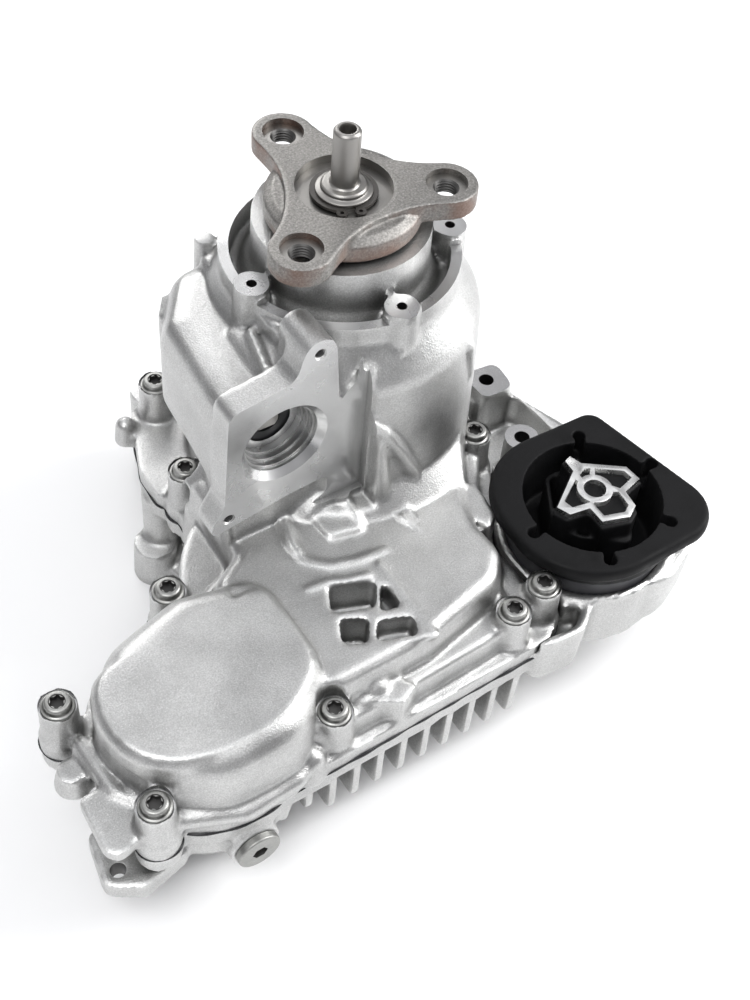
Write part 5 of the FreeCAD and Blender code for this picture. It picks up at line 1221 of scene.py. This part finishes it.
@dataclass
class Mount:
    """The rubber mount with its extruded core."""

    sizes: Sizes
    core_bore: tuple[float, float] = (80.5, -124.2)
    core_outline: tuple = (
        (56.0, -124.5), (59.0, -131.5), (70.2, -133.2), (70.2, -143.2), (84.5, -147.5), (91.5, -143.5),
        (92.8, -133.6), (104.6, -130.6), (103.8, -120.8), (84.8, -107.2), (82.6, -100.6), (78.4, -102.0),
        (78.0, -109.4),
    )
    core_cells: tuple = (
        ((75.6, -114.4), (61.6, -123.2), (62.8, -128.4), (72.6, -130.2), (76.0, -121.0)),
        ((73.4, -131.8), (73.4, -140.6), (84.2, -144.0), (88.6, -141.4), (89.8, -132.0), (80.5, -127.5)),
        ((91.8, -130.6), (101.6, -128.0), (101.0, -122.4), (88.6, -113.4), (84.4, -120.0)),
        ((79.2, -113.0), (84.4, -111.0), (86.8, -112.4), (82.4, -117.6), (78.8, -117.6)),
    )
    bore_radius: float = 5.8
    bore_wall: float = 9.2
    skin_share: float = 1.09
    skin_foot: float = 6.0
    skin_top: float = 3.4

    def build(self) -> None:
        """Mould the rubber and saw the core."""
        rubber = Tools.merge([copy_of("rubber_mount", "moulded_mount"), self.core_skin()])
        reskin(rubber, 0.8, passes=6)
        thin_out(rubber, 0.4)
        dress(rubber, RUBBER, angle=40.0)
        seat(rubber, Body.CASE, Slot.RUBBER, "rubber_mount")
        core = self.core()
        break_edges(core, 0.22, 40)
        dress(core, EXTRUDED, angle=30.0)
        seat(core, Body.CASE, Slot.CORE, "mount_core")

    def core_skin(self) -> bpy.types.Object:
        """The rubber that is moulded round the core, up to just under its sawn end."""
        low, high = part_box("mount_core")
        outline = scaled(self.core_outline, self.core_bore, self.skin_share)
        return Tools.prism(outline, low.z / MM + self.skin_foot, high.z / MM - self.skin_top)

    def core(self) -> bpy.types.Object:
        """The extruded core: a winged outline with a bore and four hollow cells."""
        low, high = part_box("mount_core")
        foot = low.z / MM
        top = high.z / MM
        core = Tools.prism(self.core_outline, foot, top)
        core.name = "sawn_core"
        hub = millimetres(*self.core_bore, foot)
        for cell in self.core_cells:
            cutter = Tools.prism(cell, foot - 1, top + 1)
            Tools.cut(cutter, Tools.rod(hub - millimetres(0, 0, 2), self.bore_wall, top - foot + 4))
            Tools.cut(core, cutter)
        Tools.cut(core, Tools.rod(hub - millimetres(0, 0, 1), self.bore_radius, top - foot + 2))
        return core


@dataclass
class Sealant:
    """The bead that squeezed out of the seam all the way round."""

    sizes: Sizes
    bead: float = 0.75
    swell: float = 0.55

    def build(self) -> bpy.types.Object:
        """Lay the bead along the seam's outline.

        Returns:
            The bead, seated on the case.
        """
        level = (self.sizes.seam + self.sizes.sealant / 2) * MM
        points = self.spaced(outer_loop("seam_sealant"))
        path = bpy.data.curves.new("bead", "CURVE")
        path.dimensions = "3D"
        path.bevel_depth = self.bead * MM
        path.bevel_resolution = 2
        spline = path.splines.new("POLY")
        spline.points.add(len(points) - 1)
        for index, place in enumerate(points):
            wave = math.sin(index * 0.21) * math.sin(index * 0.057 + 1.3) + 0.5 * math.sin(index * 0.73)
            spline.points[index].co = (place.x, place.y, level + 0.1 * MM * wave, 1.0)
            spline.points[index].radius = 1.0 + self.swell * wave
        spline.use_cyclic_u = True
        pick(linked("sealant_bead", path))
        bpy.ops.object.convert(target="MESH")
        bead = bpy.context.active_object
        dress(bead, SEALANT, angle=60.0)
        return seat(bead, Body.CASE, Slot.SEALANT)

    @staticmethod
    def spaced(outline: Sequence[Vector], step: float = 2.0) -> list[Vector]:
        """Points at even steps round a closed outline, the step in millimetres."""
        closed = list(outline) + [outline[0]]
        points = []
        left = 0.0
        for start, end in zip(closed, closed[1:]):
            run = (end - start).length
            while left < run:
                points.append(start.lerp(end, left / run))
                left += step * MM
            left -= run
        return points


def turn_shaft() -> bpy.types.Object:
    """The main shaft with broken edges, seated on its body."""
    shaft = copy_of("main_shaft", "turned_shaft")
    break_edges(shaft, 0.3, 35)
    dress(shaft, TURNED_STEEL, angle=30.0)
    return seat(shaft, Body.SHAFT, Slot.SHAFT, "main_shaft")


class FrontCasting(Casting):
    """The finned lower casting with its mount arm."""

    arm_lugs: tuple[tuple[float, float], ...] = ((85.8, -60.8), (94.0, -16.0))
    lug_top: float = 85.0
    lug_hole: float = 4.25
    corner_lug: tuple[float, float] = (-62.6, -35.8)
    corner_hole: float = 3.8
    corner_top: float = 45.0
    face_bolts: int = 6
    face_bolt_start: float = 50.0
    face_circle: float = 100.0
    face_hole: float = 4.25

    def lug_places(self, level: float) -> list[Vector]:
        """Points on the axes of the arm's lugs, at a level in millimetres."""
        return [millimetres(x, y, level) for x, y in self.arm_lugs]

    def corner_place(self, level: float) -> Vector:
        """The point on the corner lug's axis at a level in millimetres."""
        corner = self.sizes.front + millimetres(*self.corner_lug, 0)
        return Vector((corner.x, corner.y, level * MM))

    def face_bolt_places(self, level: float) -> list[Vector]:
        """Points on the axes of the gearbox face's tapped holes, at a level in millimetres."""
        step = 360 / self.face_bolts
        return [polar(self.face_circle, self.face_bolt_start + step * index, level)
                for index in range(self.face_bolts)]

    def add_stock(self, piece: bpy.types.Object) -> None:
        """Fill the bores and raise the faces that are machined later."""
        sizes = self.sizes
        stock = sizes.stock
        Tools.raise_face(piece, 2, sizes.seam, stock)
        Tools.raise_face(piece, 2, self.lug_top, stock)
        Tools.raise_face(piece, 2, 0.0, -stock)
        plugs = [Tools.rod(place, self.lug_hole + 1, 20 + stock)
                 for place in self.lug_places(self.lug_top - 20)]
        plugs.append(Tools.rod(self.corner_place(34), self.corner_hole + 1, 10))
        plugs += [Tools.rod(place, self.face_hole + 0.95, 12) for place in self.face_bolt_places(-stock)]
        Tools.merge([piece, *plugs])

    def machine(self, piece: bpy.types.Object) -> None:
        """Face the seam, the lugs and the gearbox face, and bore the holes."""
        Tools.cut(piece, self.seam_cutter())
        Tools.cut(piece, Tools.block(millimetres(-300, -300, -20), millimetres(300, 300, 0)))
        Tools.cut(piece, *(Tools.rod(place, 18, 10) for place in self.lug_places(self.lug_top)))
        Tools.cut(piece, *(Tools.rod(place, self.lug_hole, 70, sides=32) for place in self.lug_places(30)))
        Tools.cut(piece, Tools.rod(self.corner_place(26), self.corner_hole, 30, sides=32))
        Tools.cut(piece, *(Tools.rod(place, self.face_hole, 25, sides=32)
                           for place in self.face_bolt_places(-5)))

    def seam_cutter(self) -> bpy.types.Object:
        """A slab over the seam's outline that faces the seam."""
        outline = outer_loop("seam_sealant")
        grid = bmesh.new()
        face = grid.faces.new([grid.verts.new((p.x, p.y, self.sizes.seam * MM)) for p in outline])
        if face.calc_area() and face.normal.z > 0:
            face.normal_flip()
        slab = bpy.data.meshes.new("seam slab")
        grid.to_mesh(slab)
        grid.free()
        return extrude_up(linked("seam slab", slab), 8)

    def machined_zones(self) -> list[Zone]:
        """The faces and bores that are cut."""
        zones = [Zone((0, 0, self.sizes.seam), 400), Zone((0, 0, 0), 300, axis=DOWNWARD)]
        # The holes take the painted shade of the bore finish.
        for place in self.lug_places(self.lug_top):
            zones.append(Zone(place / MM, 12))
            zones.append(Zone(place / MM, self.lug_hole, 50, finish=BORE_SHADE_INDEX))
        zones.append(Zone(self.corner_place(self.corner_top) / MM, self.corner_hole, 14, finish=BORE_SHADE_INDEX))
        zones += [Zone(place / MM, self.face_hole, 21, DOWNWARD, BORE_SHADE_INDEX)
                  for place in self.face_bolt_places(0)]
        return zones


@dataclass(frozen=True)
class Studio:
    """Camera, floor and light."""

    place: tuple[float, float, float] = (-0.3125, -0.4525, 0.6827)
    azimuth: float = -37.7
    elevation: float = 50.19
    roll: float = 6.14
    lens: float = 54.0
    sky_levels: tuple[tuple[float, float], ...] = ((0.3, 0.22), (0.5, 0.55), (0.62, 0.2), (0.8, 0.85))
    aim: tuple[float, float, float] = (-0.03, -0.06, 0.1)
    lamps: tuple = (
        ("key", (-0.7, -0.5, 1.4), 0.7, 0.7, 9.0),
        ("right strip", (1.1, -0.5, 0.85), 0.55, 1.3, 19.0),
        ("back", (0.2, 1.3, 0.9), 1.2, 0.5, 10.0),
    )

    def camera(self) -> None:
        """Set the camera at the photograph's viewing angle."""
        azimuth, elevation, roll = (math.radians(v) for v in (self.azimuth, self.elevation, self.roll))
        back = Vector((math.sin(azimuth) * math.cos(elevation), -math.cos(azimuth) * math.cos(elevation),
                       math.sin(elevation)))
        right = Vector((math.cos(azimuth), math.sin(azimuth), 0.0))
        upward = back.cross(right)
        turned_right = right * math.cos(roll) + upward * math.sin(roll)
        turned_up = upward * math.cos(roll) - right * math.sin(roll)
        lens = bpy.data.cameras.new("camera")
        lens.lens = self.lens
        lens.sensor_width = 36.0
        holder = linked("camera", lens)
        turn = Matrix((turned_right, turned_up, back)).transposed().to_4x4()
        holder.matrix_world = Matrix.Translation(self.place) @ turn
        bpy.context.scene.camera = holder

    def floor(self) -> None:
        """A plain pale floor under the lowest point."""
        low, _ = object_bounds()
        bpy.ops.object.select_all(action="DESELECT")
        bpy.ops.mesh.primitive_plane_add(size=9.0, location=(0, 0, low[2]))
        floor = bpy.context.active_object
        floor.name = "floor"
        paint = bpy.data.materials.new("Pale floor")
        paint.use_nodes = True
        shader = paint.node_tree.nodes["Principled BSDF"]
        shader.inputs["Base Color"].default_value = (0.93, 0.93, 0.93, 1.0)
        shader.inputs["Roughness"].default_value = 0.9
        shader.inputs["Specular IOR Level"].default_value = 0.1
        floor.data.materials.append(paint)
        floor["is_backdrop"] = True

    def lamp(self, name: str, place: Sequence[float], wide: float, high: float, power: float) -> None:
        """Add a soft rectangular lamp that looks at the object."""
        light = bpy.data.lights.new(name, "AREA")
        light.shape = "RECTANGLE"
        light.size = wide
        light.size_y = high
        light.energy = power
        holder = linked(name, light)
        holder.location = place
        holder.rotation_euler = (Vector(self.aim) - Vector(place)).to_track_quat("-Z", "Y").to_euler()

    def light(self) -> None:
        """Light the object plainly from above, with softer lamps at both sides."""
        world = bpy.data.worlds.new("studio")
        world.use_nodes = True
        bpy.context.scene.world = world
        wiring = Wiring(world.node_tree)
        place = wiring.node("ShaderNodeTexCoord").outputs["Generated"]
        split = wiring.node("ShaderNodeSeparateXYZ", {0: place})
        fade = wiring.node("ShaderNodeValToRGB", {"Fac": split.outputs["Z"]})
        stops = fade.color_ramp.elements
        for stop, position, color in zip(stops, (0.0, 1.0), ((0.16, 0.165, 0.175), (0.85, 0.87, 0.9))):
            stop.position = position
            stop.color = (*color, 1.0)
        for position, level in self.sky_levels:
            stops.new(position).color = (level, level, level * 1.03, 1.0)
        sky = world.node_tree.nodes["Background"]
        wiring.feed(sky.inputs["Color"], fade.outputs["Color"])
        for lamp in self.lamps:
            self.lamp(*lamp)
        bpy.context.scene.view_settings.view_transform = "Standard"


@dataclass
class TransferCase:
    """The whole object."""

    sizes: Sizes = field(default_factory=Sizes)

    def build(self, frame: dict) -> None:
        """Build every piece in order."""
        self.sizes.read()
        self.dress_nodes(frame)
        RearCasting("rear_housing", "rear_casting", self.sizes).build()
        FrontCasting("front_housing", "front_casting", self.sizes, voxel=1.7).build()
        Flange(self.sizes).build()
        turn_shaft()
        SeamScrews(self.sizes).build()
        Mount(self.sizes).build()
        Sealant(self.sizes).build()

    @staticmethod
    def dress_nodes(frame: dict) -> None:
        """Give every construction node the finish of its record slot."""
        for part in frame["record"]["subparts"]:
            node = frame["nodes"][part["node"]]
            finish = NODE_FINISHES[part["material_slot"]]
            node.data.materials.clear()
            node.data.materials.append(finish.material())


def main() -> None:
    """Build the scene round the frame."""
    logging.basicConfig(level=logging.INFO, format="%(message)s")
    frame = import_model()
    studio = Studio()
    studio.camera()
    studio.floor()
    studio.light()
    TransferCase().build(frame)


if __name__ == "__main__":
    main()
